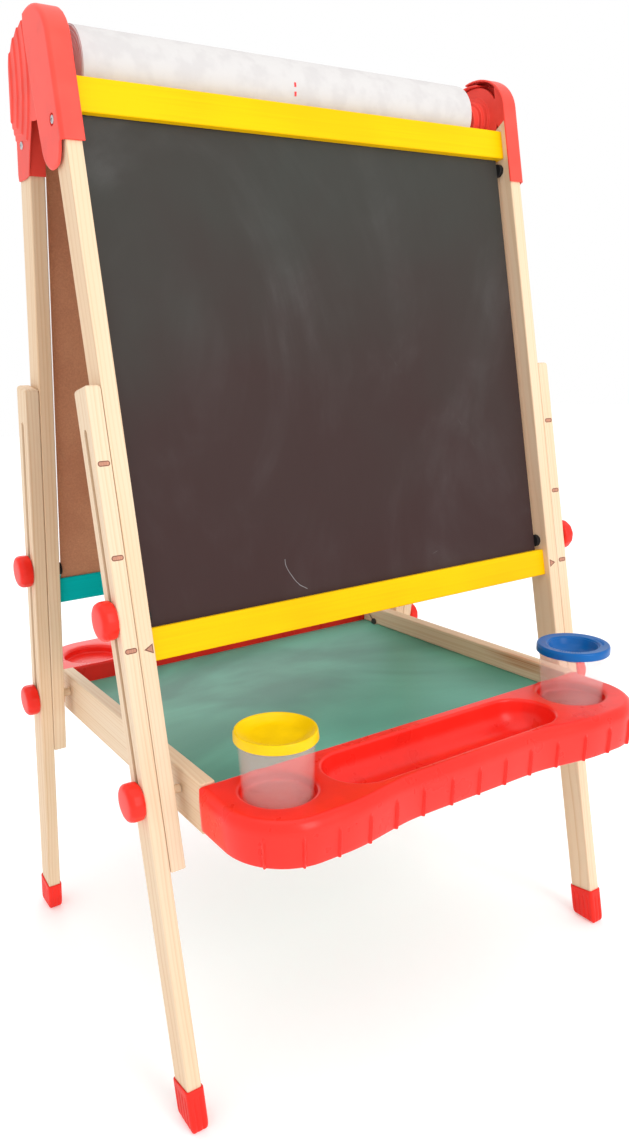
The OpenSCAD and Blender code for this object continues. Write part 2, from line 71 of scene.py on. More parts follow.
class Corner(Enum):
    """The four corners of the easel, each with its own post, leg and cap."""

    FRONT_LEFT = ("front", "left")
    FRONT_RIGHT = ("front", "right")
    REAR_LEFT = ("rear", "left")
    REAR_RIGHT = ("rear", "right")

    @property
    def end(self) -> str:
        """Which frame the corner belongs to, front or rear."""
        return self.value[0]

    @property
    def side(self) -> str:
        """Which side the corner is on, left or right."""
        return self.value[1]

    @property
    def tag(self) -> str:
        """The corner's part of a piece's name."""
        return f"{self.end}_{self.side}"

    @property
    def frame_body(self) -> str:
        """The body that the post and the cap of this corner ride on."""
        return f"{self.end}_frame"


@dataclass(frozen=True)
class Plan:
    """The driving sizes of the easel, in millimetres and degrees."""

    lean: float = 10.1
    face_y: float = 47.5
    frame_top: float = 973.3
    hinge_y: float = 8.0
    hinge_z: float = 946.0
    post_in: float = 254.0
    post_out: float = 269.0
    leg_in: float = 269.3
    leg_out: float = 284.0
    stick_d: float = 28.4
    knob_s: tuple[float, float] = (507.0, 672.0)
    cap_screw_s: float = 79.0

    def place(self, corner: Corner) -> Matrix:
        """Gives the matrix from a frame's own axes to the easel's.

        Args:
            corner: The corner. Left corners mirror the right ones, rear ones the front ones.

        Returns:
            A matrix from millimetres (x outward, y into the frame, z up the post) to metres.
        """
        lean = Matrix.Rotation(math.radians(-self.lean), 4, "X")
        stand = Matrix.Translation((0.0, -self.face_y, self.frame_top))
        front_back = Matrix.Diagonal((1.0, -1.0 if corner.end == "rear" else 1.0, 1.0, 1.0))
        left_right = Matrix.Diagonal((-1.0 if corner.side == "left" else 1.0, 1.0, 1.0, 1.0))
        middle = Matrix.Translation((0.0, self.hinge_y, 0.0))
        return Matrix.Scale(MM, 4) @ middle @ front_back @ stand @ lean @ left_right

    def hinge(self) -> Flat:
        """Where the hinge line is in a frame's own depth and height."""
        turn = math.radians(self.lean)
        rise = self.hinge_z - self.frame_top
        depth = self.face_y * math.cos(turn) - rise * math.sin(turn)
        height = self.face_y * math.sin(turn) + rise * math.cos(turn)
        return depth, height

    def floor_height(self, depth: float) -> float:
        """The height at which a line down the frame at this depth meets the floor."""
        turn = math.radians(self.lean)
        return (depth * math.sin(turn) - self.frame_top) / math.cos(turn)


PLAN = Plan()
UPRIGHT = Matrix.Scale(MM, 4) @ Matrix.Translation((0.0, PLAN.hinge_y, 0.0))


# Outlines


def arc(centre: Flat, radii: Flat, start: float, stop: float, step: float) -> list[Flat]:
    """Points along an elliptical arc.

    Args:
        centre: The arc's centre.
        radii: Its half width and half height.
        start: The first angle in degrees.
        stop: The last angle in degrees.
        step: The largest angle between two points.

    Returns:
        The points, both ends included.
    """
    count = max(1, math.ceil(abs(stop - start) / step))
    turns = [math.radians(start + (stop - start) * i / count) for i in range(count + 1)]
    return [(centre[0] + radii[0] * math.cos(t), centre[1] + radii[1] * math.sin(t)) for t in turns]


def soft_curve(points: Sequence[Flat], steps: int) -> list[Flat]:
    """A smooth curve through points, with the ends kept.

    Args:
        points: The points that the curve passes through.
        steps: How many pieces each stretch is cut into.

    Returns:
        The denser list of points.
    """
    ends = [points[0], *points, points[-1]]
    made: list[Flat] = []
    for a, b, c, d in zip(ends, ends[1:], ends[2:], ends[3:]):
        for i in range(steps):
            t = i / steps
            made.append(tuple(0.5 * (2 * q + (r - p) * t + (2 * p - 5 * q + 4 * r - s) * t * t
                                     + (3 * q - p - 3 * r + s) * t ** 3)
                              for p, q, r, s in zip(a, b, c, d)))
    return [*made, points[-1]]


def stadium(half: float, radius: float, centre_y: float, grow: float, step: float) -> list[Flat]:
    """A long oval: two half circles joined by straight lines, anticlockwise.

    Args:
        half: Half of its whole length before it grows.
        radius: The radius of its ends before it grows.
        centre_y: Where its long axis lies.
        grow: How far every edge moves outward.
        step: The angle between points on the ends.

    Returns:
        The points of the closed outline.
    """
    reach, r = half - radius, radius + grow
    right = arc((reach, centre_y), (r, r), -90, 90, step)
    left = arc((-reach, centre_y), (r, r), 90, 270, step)
    return right + left


def clipped(points: Sequence[Flat], borders: Sequence[tuple[Flat, Flat]]) -> list[Flat]:
    """Keeps the part of an outline that lies behind straight borders.

    Args:
        points: The closed outline.
        borders: A point of each border and its outward direction.

    Returns:
        The closed outline that is left.
    """
    left = list(points)
    for (by, bz), (ny, nz) in borders:
        beyond = [(y - by) * ny + (z - bz) * nz for y, z in left]
        kept: list[Flat] = []
        for i, (point, far) in enumerate(zip(left, beyond)):
            before, near = left[i - 1], beyond[i - 1]
            if (far > 0) != (near > 0):
                t = near / (near - far)
                kept.append(tuple(a + (b - a) * t for a, b in zip(before, point)))
            if far <= 0:
                kept.append(point)
        left = kept
    return [p for i, p in enumerate(left) if math.dist(p, left[i - 1]) > 0.02]


def round_border(centre: Flat, radius: float) -> list[tuple[Flat, Flat]]:
    """The borders of a disc, to clip an outline with."""
    turns = arc((0.0, 0.0), (1.0, 1.0), 0, 357, 3)
    return [((centre[0] + radius * y, centre[1] + radius * z), (y, z)) for y, z in turns]


def drawn_in(points: Sequence[Flat], inset: float) -> list[Flat]:
    """Moves every point of a clockwise outline inwards; the ends keep their height."""
    made = []
    for i, (y, z) in enumerate(points):
        before, after = points[i - 1], points[(i + 1) % len(points)]
        length = max(1e-6, math.dist(before, after))
        out = ((before[1] - after[1]) / length, (after[0] - before[0]) / length)
        if i == 0:
            made.append((y + inset, z))
        elif i == len(points) - 1:
            made.append((y - out[0] * inset, z))
        else:
            made.append((y - out[0] * inset, z - out[1] * inset))
    return made


def wave(value: float) -> float:
    """Eases a value from 0 to 1, flat at both ends."""
    t = min(1.0, max(0.0, value))
    return t * t * (3 - 2 * t)


# Solids in the making


class Blank:
    """A solid that is being shaped, in millimetres, before it is placed on the easel."""

    def __init__(self, bm: bmesh.types.BMesh) -> None:
        """Takes over a mesh."""
        self.bm = bm

    @classmethod
    def prism(cls, outline: Sequence[Flat], low: float, high: float) -> "Blank":
        """Extrudes an outline along x.

        Args:
            outline: The closed outline, in y and z.
            low: Where the solid starts on x.
            high: Where it ends.

        Returns:
            The solid.
        """
        bm = bmesh.new()
        near = [bm.verts.new((low, y, z)) for y, z in outline]
        far = [bm.verts.new((high, y, z)) for y, z in outline]
        bm.faces.new(near)
        bm.faces.new(far[::-1])
        for i in range(len(outline)):
            j = (i + 1) % len(outline)
            bm.faces.new((near[i], far[i], far[j], near[j]))
        bmesh.ops.recalc_face_normals(bm, faces=bm.faces)
        return cls(bm)

    @classmethod
    def box(cls, low: Sequence[float], high: Sequence[float]) -> "Blank":
        """A box between two corners."""
        outline = [(low[1], low[2]), (high[1], low[2]), (high[1], high[2]), (low[1], high[2])]
        return cls.prism(outline, low[0], high[0])

    @classmethod
    def loft(cls, rings: Sequence[Sequence[Sequence[float]]]) -> "Blank":
        """Joins rings in order, and closes the two ends.

        Args:
            rings: The rings, each with equally many points.

        Returns:
            The solid.
        """
        bm = bmesh.new()
        rows = [[bm.verts.new(p) for p in ring] for ring in rings]
        for low, high in zip(rows, rows[1:]):
            for i in range(len(low)):
                j = (i + 1) % len(low)
                bm.faces.new((low[i], low[j], high[j], high[i]))
        bm.faces.new(rows[0][::-1])
        bm.faces.new(rows[-1])
        bmesh.ops.recalc_face_normals(bm, faces=bm.faces)
        return cls(bm)

    @classmethod
    def pillow(cls, outline: Sequence[Flat], low: float, high: float, brow: float) -> "Blank":
        """Extrudes an outline along x and rounds the edge at the high end.

        Args:
            outline: The clockwise outline, in y and z.
            low: Where the solid starts on x.
            high: Where it ends.
            brow: The radius of the rounding.

        Returns:
            The solid.
        """
        rings = [[(low, y, z) for y, z in outline]]
        for turn in range(0, 91, 15):
            t = math.radians(turn)
            inset = brow * (1 - math.cos(t))
            x = high - brow + brow * math.sin(t)
            rings.append([(x, y, z) for y, z in drawn_in(outline, inset)])
        return cls.loft(rings)

    def copy(self) -> "Blank":
        """The same solid once more."""
        return Blank(self.bm.copy())

    @classmethod
    def turned(cls, profile: Sequence[Flat], segments: int, axis: str = "Z",
               shape: Callable[[float, float, float], float] | None = None) -> "Blank":
        """Turns a profile on a lathe.

        Args:
            profile: Radius and height of each point, from the axis back to the axis.
            segments: How many flats there are round the axis.
            axis: The axis that the profile turns about, X or Z.
            shape: Gives a new radius from the angle, the radius and the height.

        Returns:
            The turned solid.
        """
        bm = bmesh.new()
        rows = []
        for r, h in profile:
            row = []
            for i in range(segments if r > 1e-6 else 1):
                t = math.tau * i / segments
                q = shape(t, r, h) if shape and r > 1e-6 else r
                a, b = q * math.cos(t), q * math.sin(t)
                row.append(bm.verts.new((a, b, h) if axis == "Z" else (h, a, b)))
            rows.append(row)
        for low, high in zip(rows, rows[1:]):
            for i in range(segments):
                j = (i + 1) % segments
                corners = [low[i % len(low)], low[j % len(low)], high[j % len(high)], high[i % len(high)]]
                bm.faces.new(list(dict.fromkeys(corners)))
        bmesh.ops.recalc_face_normals(bm, faces=bm.faces)
        return cls(bm)

    @classmethod
    def from_node(cls, node: str, place: Matrix) -> "Blank":
        """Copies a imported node's mesh into a shape's own axes, with its flat faces made whole.

        Args:
            node: The node's name.
            place: The matrix from the shape's own axes to the easel's.

        Returns:
            The solid.
        """
        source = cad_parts[node].data
        bm = bmesh.new()
        back = place.inverted()
        verts = [bm.verts.new(back @ v.co) for v in source.vertices]
        for polygon in source.polygons:
            corners = [verts[i] for i in polygon.vertices]
            if len(set(corners)) > 2 and not bm.faces.get(corners):
                bm.faces.new(corners)
        bmesh.ops.remove_doubles(bm, verts=bm.verts, dist=0.003)
        bmesh.ops.dissolve_limit(bm, angle_limit=math.radians(0.5), verts=bm.verts, edges=bm.edges)
        bmesh.ops.recalc_face_normals(bm, faces=bm.faces)
        return cls(bm)

    def _as_object(self) -> bpy.types.Object:
        """Puts the mesh into a passing object, for Blender's modifiers."""
        mesh = bpy.data.meshes.new("passing")
        self.bm.to_mesh(mesh)
        made = bpy.data.objects.new("passing", mesh)
        bpy.context.scene.collection.objects.link(made)
        return made

    def _take_back(self, made: bpy.types.Object) -> None:
        """Reads the mesh with its modifiers from the passing object, and removes that object."""
        graph = bpy.context.evaluated_depsgraph_get()
        done = bpy.data.meshes.new_from_object(made.evaluated_get(graph))
        self.bm.free()
        self.bm = bmesh.new()
        self.bm.from_mesh(done)
        old = made.data
        bpy.data.objects.remove(made)
        bpy.data.meshes.remove(old)
        bpy.data.meshes.remove(done)

    def cut(self, *others: "Blank") -> "Blank":
        """Cuts others, which are used up, out of this solid."""
        for other in others:
            mine, tool = self._as_object(), other._as_object()
            step = mine.modifiers.new("cut", "BOOLEAN")
            step.operation, step.solver, step.object = "DIFFERENCE", "EXACT", tool
            self._take_back(mine)
            spare = tool.data
            bpy.data.objects.remove(tool)
            bpy.data.meshes.remove(spare)
            other.bm.free()
            bmesh.ops.remove_doubles(self.bm, verts=self.bm.verts, dist=0.002)
        return self

    def with_loose(self, *others: "Blank") -> "Blank":
        """Adds others to the same mesh without joining their surfaces."""
        for other in others:
            mesh = bpy.data.meshes.new("passing")
            other.bm.to_mesh(mesh)
            other.bm.free()
            self.bm.from_mesh(mesh)
            bpy.data.meshes.remove(mesh)
        return self

    def ease(self, rule: Callable[[Edge], float], segments: int = 3) -> "Blank":
        """Rounds edges.

        Args:
            rule: Gives the width of the rounding of an edge, 0 to leave it sharp.
            segments: How many faces make one rounding.

        Returns:
            This solid.
        """
        widths = {e.index: rule(e) for e in self._indexed_edges()}
        widest = max(widths.values(), default=0.0)
        if widest <= 0.0:
            return self
        layer = self.bm.edges.layers.float.get("bevel_weight_edge")
        layer = layer or self.bm.edges.layers.float.new("bevel_weight_edge")
        for edge in self.bm.edges:
            edge[layer] = widths[edge.index] / widest
        made = self._as_object()
        step = made.modifiers.new("ease", "BEVEL")
        step.limit_method, step.width, step.segments = "WEIGHT", widest, segments
        step.use_clamp_overlap = False
        self._take_back(made)
        return self

    def _indexed_edges(self) -> list[Edge]:
        """The edges, with their numbers and normals brought up to date."""
        self.bm.edges.index_update()
        self.bm.normal_update()
        return list(self.bm.edges)

    def melt(self, voxel: float, passes: int, keep: float) -> "Blank":
        """Rounds every edge and inner corner a little, as a mould does.

        Args:
            voxel: The size of the grid that the shape is rebuilt on.
            passes: How often the surface is smoothed.
            keep: The share of the faces that stay.

        Returns:
            This solid.
        """
        made = self._as_object()
        rebuild = made.modifiers.new("rebuild", "REMESH")
        rebuild.mode, rebuild.voxel_size = "VOXEL", voxel
        smooth = made.modifiers.new("smooth", "SMOOTH")
        smooth.factor, smooth.iterations = 0.5, passes
        thin = made.modifiers.new("thin", "DECIMATE")
        thin.ratio = keep
        self._take_back(made)
        return self

    def finish(self, piece: "Piece", place: Matrix) -> bpy.types.Object:
        """Places the solid on the easel as a piece with its finish.

        Args:
            piece: The piece's name, finish, body, and what it stands for.
            place: The matrix from the solid's own axes to the easel's.

        Returns:
            The Blender object.
        """
        bm = self.bm
        if piece.grain:
            layer = bm.verts.layers.float_vector.new("grain")
            for v in bm.verts:
                v[layer] = piece.grain.at(v.co)
        bmesh.ops.transform(bm, matrix=place, verts=bm.verts)
        if place.determinant() < 0:
            bmesh.ops.reverse_faces(bm, faces=bm.faces)
        mesh = bpy.data.meshes.new(piece.name)
        bm.to_mesh(mesh)
        bm.free()
        for polygon in mesh.polygons:
            polygon.use_smooth = True
        mesh.set_sharp_from_angle(angle=math.radians(piece.crease))
        for material in piece.materials:
            mesh.materials.append(material)
        made = bpy.data.objects.new(piece.name, mesh)
        bpy.context.scene.collection.objects.link(made)
        even = made.modifiers.new("even_shading", "WEIGHTED_NORMAL")
        even.keep_sharp, even.weight = True, 60
        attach(made, piece.body)
        if piece.nodes:
            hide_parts(*piece.nodes)
        log.info("%s: %d faces, rides on %s", piece.name, len(mesh.polygons), piece.body)
        return made


@dataclass(frozen=True)
class Grain:
    """How the grain runs through a stick: which axis is long, and where in the log it was cut."""

    along: int
    number: int

    def at(self, point: Vector) -> Vector:
        """The point's place in the log in metres: along, across and deep."""
        others = [i for i in range(3) if i != self.along]
        log_side = ((self.number * 0.37) % 1.0 - 0.5) * 0.16
        log_deep = 0.05 + ((self.number * 0.61) % 1.0) * 0.09
        return Vector((point[self.along] * MM + self.number * 2.7,
                       point[others[0]] * MM + log_side, point[others[1]] * MM + log_deep))


@dataclass(frozen=True)
class Piece:
    """What a finished solid needs to become a piece of the easel."""

    name: str
    materials: tuple[bpy.types.Material, ...]
    body: str
    slot: str = ""
    nodes: tuple[str, ...] = ()
    grain: Grain | None = None
    crease: float = 35.0


def sharp_edges(width: float, longer_than: float = 0.0) -> Callable[[Edge], float]:
    """A rule that eases sharp outer edges.

    Args:
        width: The width of the rounding.
        longer_than: The shortest edge that is rounded.

    Returns:
        The rule, for Blank.ease.
    """

    def rule(edge: Edge) -> float:
        """The width of the rounding of one edge."""
        if len(edge.link_faces) != 2 or edge.calc_length() < longer_than:
            return 0.0
        return width if edge.calc_face_angle_signed(0.0) > math.radians(30) else 0.0

    return rule


# Shader wiring


class Wiring:
    """Adds nodes to one shader tree and joins them."""

    def __init__(self, tree: bpy.types.NodeTree) -> None:
        """Takes the tree that is wired."""
        self.tree = tree

    def feed(self, socket: Socket, value: object) -> None:
        """Links a socket to another, or sets its value."""
        if isinstance(value, Socket):
            self.tree.links.new(value, socket)
        elif value is not None:
            socket.default_value = value

    def add(self, kind: str, values: dict | None = None, **settings: object) -> Node:
        """Adds a node.

        Args:
            kind: The end of the node's type name, after ShaderNode.
            values: Values or sockets for its inputs, by name or number.
            **settings: The node's own options.

        Returns:
            The node.
        """
        node = self.tree.nodes.new(kind if kind.startswith("NodeGroup") else "ShaderNode" + kind)
        for name, value in settings.items():
            setattr(node, name, value)
        for key, value in (values or {}).items():
            self.feed(node.inputs[key], value)
        return node

    def math(self, operation: str, a: object, b: object = None, c: object = None) -> Socket:
        """One sum on numbers."""
        return self.add("Math", {0: a, 1: b, 2: c}, operation=operation).outputs[0]

    def times(self, a: object, b: object) -> Socket:
        """The product of two values."""
        return self.math("MULTIPLY", a, b)

    def plus(self, a: object, b: object) -> Socket:
        """The sum of two values."""
        return self.math("ADD", a, b)

    def minus(self, a: object, b: object) -> Socket:
        """The difference of two values."""
        return self.math("SUBTRACT", a, b)

    def ramp(self, value: object, low: float, high: float, start: float = 0.0,
             end: float = 1.0) -> Socket:
        """A soft step from start to end as the value goes from low to high."""
        limits = {"Value": value, "From Min": low, "From Max": high, "To Min": start, "To Max": end}
        return self.add("MapRange", limits, interpolation_type="SMOOTHSTEP").outputs[0]

    def mix(self, share: object, a: object, b: object, blend: str = "MIX") -> Socket:
        """Mixes two colours."""
        return self.add("Mix", {0: share, 6: a, 7: b}, data_type="RGBA", blend_type=blend).outputs[2]

    def stretch(self, place: object, factors: Sequence[float]) -> Socket:
        """Multiplies a place by three factors."""
        return self.add("VectorMath", {0: place, 1: tuple(factors)}, operation="MULTIPLY").outputs[0]

    def noise(self, place: object, scale: float, detail: float = 2.0, rough: float = 0.5,
              warp: float = 0.0) -> Socket:
        """Soft noise from 0 to 1."""
        values = {"Vector": place, "Scale": scale, "Detail": detail, "Roughness": rough, "Distortion": warp}
        return self.add("TexNoise", values).outputs[0]

    def bump(self, height: object, strength: float, depth: float) -> Socket:
        """A normal from a height, in metres at full strength."""
        return self.add("Bump", {"Height": height, "Strength": strength, "Distance": depth}).outputs[0]

    def surface(self, shader: Node, colour: object, rough: object, height: Socket, strength: float,
                depth: float) -> None:
        """Feeds a shader its colour, its roughness and its relief."""
        self.feed(shader.inputs["Base Color"], colour)
        self.feed(shader.inputs["Roughness"], rough)
        self.feed(shader.inputs["Normal"], self.bump(height, strength, depth))

    def parts(self, vector: object) -> tuple[Socket, ...]:
        """The three numbers of a vector."""
        return tuple(self.add("SeparateXYZ", {0: vector}).outputs)


class Effect:
    """A shader node group: an effect that several finishes share."""

    made: dict[str, bpy.types.NodeTree] = {}

    def __init__(self, name: str, inputs: Sequence[tuple[str, str, object]],
                 outputs: Sequence[tuple[str, str]], fill: Callable[[Wiring, Node], dict]) -> None:
        """Builds the group once.

        Args:
            name: The group's name.
            inputs: Name, kind and usual value of each input.
            outputs: Name and kind of each output.
            fill: Wires the inside and gives the socket for each output.
        """
        tree = bpy.data.node_groups.new(name, "ShaderNodeTree")
        for label, kind, value in inputs:
            socket = tree.interface.new_socket(label, in_out="INPUT", socket_type="NodeSocket" + kind)
            if value is not None:
                socket.default_value = value
        for label, kind in outputs:
            tree.interface.new_socket(label, in_out="OUTPUT", socket_type="NodeSocket" + kind)
        wiring = Wiring(tree)
        start, end = wiring.add("NodeGroupInput"), wiring.add("NodeGroupOutput")
        for label, socket in fill(wiring, start).items():
            tree.links.new(socket, end.inputs[label])
        self.made[name] = tree

    @classmethod
    def put(cls, wiring: Wiring, name: str, values: dict) -> bpy.types.bpy_prop_collection:
        """Places the group in a material with its own values, and gives its outputs."""
        node = wiring.add("Group", node_tree=cls.made[name])
        for key, value in values.items():
            wiring.feed(node.inputs[key], value)
        return node.outputs


def wire_pine(w: Wiring, start: Node) -> dict:
    """Year rings, fine fibres and slow changes of tone in a stick of pine.

    Args:
        w: The wiring of the group.
        start: The node that holds its inputs.

    Returns:
        A socket for each output.
    """
    place = start.outputs["Place"]
    drift = w.noise(w.stretch(place, (2.2, 9.0, 9.0)), 1.0, 2.0)
    sway = w.noise(w.stretch(place, (7.0, 30.0, 30.0)), 1.0, 2.0)
    _, across, deep = w.parts(place)
    across = w.plus(across, w.times(w.minus(drift, 0.5), 0.016))
    reach = w.math("SQRT", w.plus(w.times(across, across), w.times(deep, deep)))
    reach = w.plus(reach, w.times(w.minus(sway, 0.5), 0.0035))
    year = w.math("DIVIDE", reach, start.outputs["Ring Width"])
    uneven = w.noise(w.add("CombineXYZ", {0: year}).outputs[0], 0.7, 1.0)
    year = w.plus(year, w.times(uneven, 1.8))
    phase = w.math("FRACT", year)
    late = w.times(w.ramp(phase, 0.42, 0.93), w.ramp(phase, 0.94, 1.0, 1.0, 0.0))
    this_year = w.noise(w.add("CombineXYZ", {0: w.math("FLOOR", year)}).outputs[0], 3.3, 0.0)
    strength = w.ramp(this_year, 0.3, 0.7, 0.25, 1.0)
    late = w.times(late, strength)
    fibre = w.noise(w.stretch(place, (9.0, 900.0, 900.0)), 1.0, 3.0, 0.6)
    pores = w.ramp(w.noise(w.stretch(place, (26.0, 1500.0, 1500.0)), 1.0, 2.0), 0.62, 0.78)
    tone = w.noise(w.stretch(place, (3.0, 14.0, 14.0)), 1.0, 2.0)
    body = w.mix(w.ramp(tone, 0.3, 0.75, 0.0, 0.45), start.outputs["Pale"], start.outputs["Warm"])
    lines = w.plus(w.times(late, start.outputs["Contrast"]), w.times(fibre, 0.10))
    body = w.mix(w.minus(lines, 0.03), body, start.outputs["Late"])
    body = w.mix(w.times(pores, 0.10), body, start.outputs["Late"])
    from_heart = w.add("VectorMath", {0: place, 1: start.outputs["Heart At"]},
                       operation="SUBTRACT").outputs[0]
    from_heart = w.stretch(from_heart, (15.0, 85.0, 85.0))
    gap = w.add("VectorMath", {0: from_heart}, operation="LENGTH").outputs["Value"]
    heart = w.times(w.ramp(w.plus(gap, w.times(sway, 0.9)), 0.7, 1.6, 1.0, 0.0), start.outputs["Heart"])
    streak = w.times(heart, w.ramp(w.plus(late, fibre), 0.2, 0.9, 0.35, 1.0))
    body = w.mix(streak, body, (0.50, 0.17, 0.045, 1.0))
    height = w.minus(w.times(fibre, 0.6), w.times(late, 0.35))
    rough = w.plus(w.times(fibre, 0.16), w.times(tone, 0.12))
    return {"Colour": body, "Height": height, "Roughness": rough, "Late": late}


def wire_mould(w: Wiring, start: Node) -> dict:
    """The slightly uneven skin of moulded plastic: flow marks, fine grit and a few rubbed spots.

    Args:
        w: The wiring of the group.
        start: The node that holds its inputs.

    Returns:
        A socket for each output.
    """
    place = start.outputs["Place"]
    flow = w.noise(w.stretch(place, (5.0, 5.0, 9.0)), 1.0, 3.0, 0.5, 0.8)
    cloud = w.noise(place, 38.0, 3.0)
    grit = w.noise(place, 1400.0, 2.0)
    rub = w.ramp(w.noise(place, 95.0, 4.0, 0.65), 0.60, 0.78)
    shade = w.plus(w.times(flow, 0.6), w.times(cloud, 0.4))
    dark = w.mix(1.0, start.outputs["Tint"], (0.84, 0.80, 0.80, 1.0), "MULTIPLY")
    tint = w.mix(w.ramp(shade, 0.35, 0.62), dark, start.outputs["Tint"])
    tint = w.mix(w.times(rub, start.outputs["Rubbed"]), tint, start.outputs["Bloom"])
    rough = w.plus(start.outputs["Gloss"], w.times(w.plus(cloud, rub), 0.09))
    height = w.plus(w.times(grit, 0.25), w.times(cloud, 1.0))
    return {"Colour": tint, "Roughness": rough, "Height": height}


def wire_paint(w: Wiring, start: Node) -> dict:
    """A sprayed coat over wood: soft orange peel, and the grain just telling through.

    Args:
        w: The wiring of the group.
        start: The node that holds its inputs.

    Returns:
        A socket for each output.
    """
    place = start.outputs["Place"]
    peel = w.noise(place, 420.0, 2.0)
    grain = w.noise(w.stretch(place, (6.0, 380.0, 380.0)), 1.0, 3.0, 0.6)
    cloud = w.noise(place, 7.0, 2.0)
    thin = w.mix(1.0, start.outputs["Tint"], (0.90, 0.88, 0.86, 1.0), "MULTIPLY")
    share = w.plus(w.times(grain, 0.35), w.times(cloud, 0.65))
    tint = w.mix(w.ramp(share, 0.38, 0.62), thin, start.outputs["Tint"])
    rough = w.plus(start.outputs["Gloss"], w.times(w.plus(peel, grain), 0.07))
    height = w.plus(w.times(peel, 0.7), w.times(grain, 0.5))
    return {"Colour": tint, "Roughness": rough, "Height": height}


def wire_dust(w: Wiring, start: Node) -> dict:
    """Wiped chalk: broad pale smears, a little powder and hair-thin scratches.

    Args:
        w: The wiring of the group.
        start: The node that holds its inputs.

    Returns:
        A socket for each output.
    """
    place = start.outputs["Place"]
    smear = w.noise(w.stretch(place, (3.4, 3.4, 2.2)), 1.0, 5.0, 0.62, 1.6)
    patch = w.noise(place, 11.0, 4.0, 0.6, 0.7)
    powder = w.noise(place, 900.0, 2.0)
    streak = w.noise(w.stretch(place, (60.0, 60.0, 7.0)), 1.0, 3.0, 0.6, 1.2)
    haze = w.times(w.ramp(smear, 0.44, 0.80), w.ramp(patch, 0.30, 0.75, 0.25, 1.0))
    dust = w.times(haze, w.plus(0.55, w.times(powder, 0.6)))
    cells = w.add("TexVoronoi", {"Vector": w.stretch(place, (9.0, 9.0, 4.0)), "Scale": 1.0},
                  feature="DISTANCE_TO_EDGE").outputs["Distance"]
    line = w.times(w.ramp(cells, 0.0, 0.0035, 1.0, 0.0), w.ramp(patch, 0.60, 0.72))
    return {"Dust": dust, "Scratch": line, "Streak": streak}


def build_effects() -> None:
    """Makes the shared node groups."""
    Effect("pine figure",
           [("Place", "Vector", None), ("Pale", "Color", None), ("Warm", "Color", None),
            ("Late", "Color", None), ("Ring Width", "Float", 0.0036), ("Contrast", "Float", 0.5),
            ("Heart", "Float", 0.0),
            ("Heart At", "Vector", None)],
           [("Colour", "Color"), ("Height", "Float"), ("Roughness", "Float"), ("Late", "Float")], wire_pine)
    Effect("moulded skin",
           [("Place", "Vector", None), ("Tint", "Color", None), ("Bloom", "Color", None),
            ("Rubbed", "Float", 0.05), ("Gloss", "Float", 0.35)],
           [("Colour", "Color"), ("Roughness", "Float"), ("Height", "Float")], wire_mould)
    Effect("sprayed coat",
           [("Place", "Vector", None), ("Tint", "Color", None), ("Gloss", "Float", 0.35)],
           [("Colour", "Color"), ("Roughness", "Float"), ("Height", "Float")], wire_paint)
    Effect("wiped chalk", [("Place", "Vector", None)],
           [("Dust", "Float"), ("Scratch", "Float"), ("Streak", "Float")], wire_dust)


# Finishes


@dataclass(frozen=True)
class Finish:
    """A finish of the easel: one material."""

    name: str

    def place(self, w: Wiring) -> Socket:
        """The point in the piece's own axes, in metres."""
        return w.add("TexCoord").outputs["Object"]

    def wire(self, w: Wiring, shader: Node, place: Socket) -> None:
        """Wires the surface. Each finish has its own way.

        Args:
            w: The wiring of the material.
            shader: The shader that is joined to the output.
            place: The point on the surface.
        """
        raise NotImplementedError

    def build(self) -> bpy.types.Material:
        """Makes the material."""
        material = bpy.data.materials.new(self.name)
        material.use_nodes = True
        material.node_tree.nodes.clear()
        wiring = Wiring(material.node_tree)
        shader = wiring.add("BsdfPrincipled")
        output = wiring.add("OutputMaterial")
        material.node_tree.links.new(shader.outputs[0], output.inputs[0])
        self.wire(wiring, shader, self.place(wiring))
        return material


@dataclass(frozen=True)
class PineFinish(Finish):
    """Clear lacquered pine."""

    pale: Colour = (0.80, 0.63, 0.45, 1.0)
    warm: Colour = (0.77, 0.51, 0.30, 1.0)
    late: Colour = (0.60, 0.33, 0.14, 1.0)
    ring_width: float = 0.0036
    contrast: float = 0.42
    heart: float = 0.0
    heart_at: tuple[float, float, float] = (0.0, 0.0, 0.0)

    def place(self, w: Wiring) -> Socket:
        """The point in the log that the stick was cut from, in metres."""
        return w.add("Attribute", attribute_name="grain").outputs["Vector"]

    def wire(self, w: Wiring, shader: Node, place: Socket) -> None:
        """Wires the surface."""
        made = Effect.put(w, "pine figure", {
            "Place": place, "Pale": self.pale, "Warm": self.warm, "Late": self.late,
            "Ring Width": self.ring_width, "Contrast": self.contrast, "Heart": self.heart,
            "Heart At": self.heart_at})
        w.surface(shader, made["Colour"], w.plus(made["Roughness"], 0.36), made["Height"], 0.35, 0.0004)
        shader.inputs["Specular IOR Level"].default_value = 0.22


@dataclass(frozen=True)
class MouldFinish(Finish):
    """Moulded plastic in one colour."""

    tint: Colour
    bloom: Colour
    gloss: float = 0.30
    rubbed: float = 0.05
    shine: float = 0.22
    relief: float = 0.00022
    cover: float = 1.0

    def wire(self, w: Wiring, shader: Node, place: Socket) -> None:
        """Wires the surface."""
        made = Effect.put(w, "moulded skin", {
            "Place": place, "Tint": self.tint, "Bloom": self.bloom,
            "Gloss": self.gloss, "Rubbed": self.rubbed})
        w.surface(shader, made["Colour"], made["Roughness"], made["Height"], 0.5, self.relief)
        shader.inputs["Specular IOR Level"].default_value = self.shine
        shader.inputs["Alpha"].default_value = self.cover


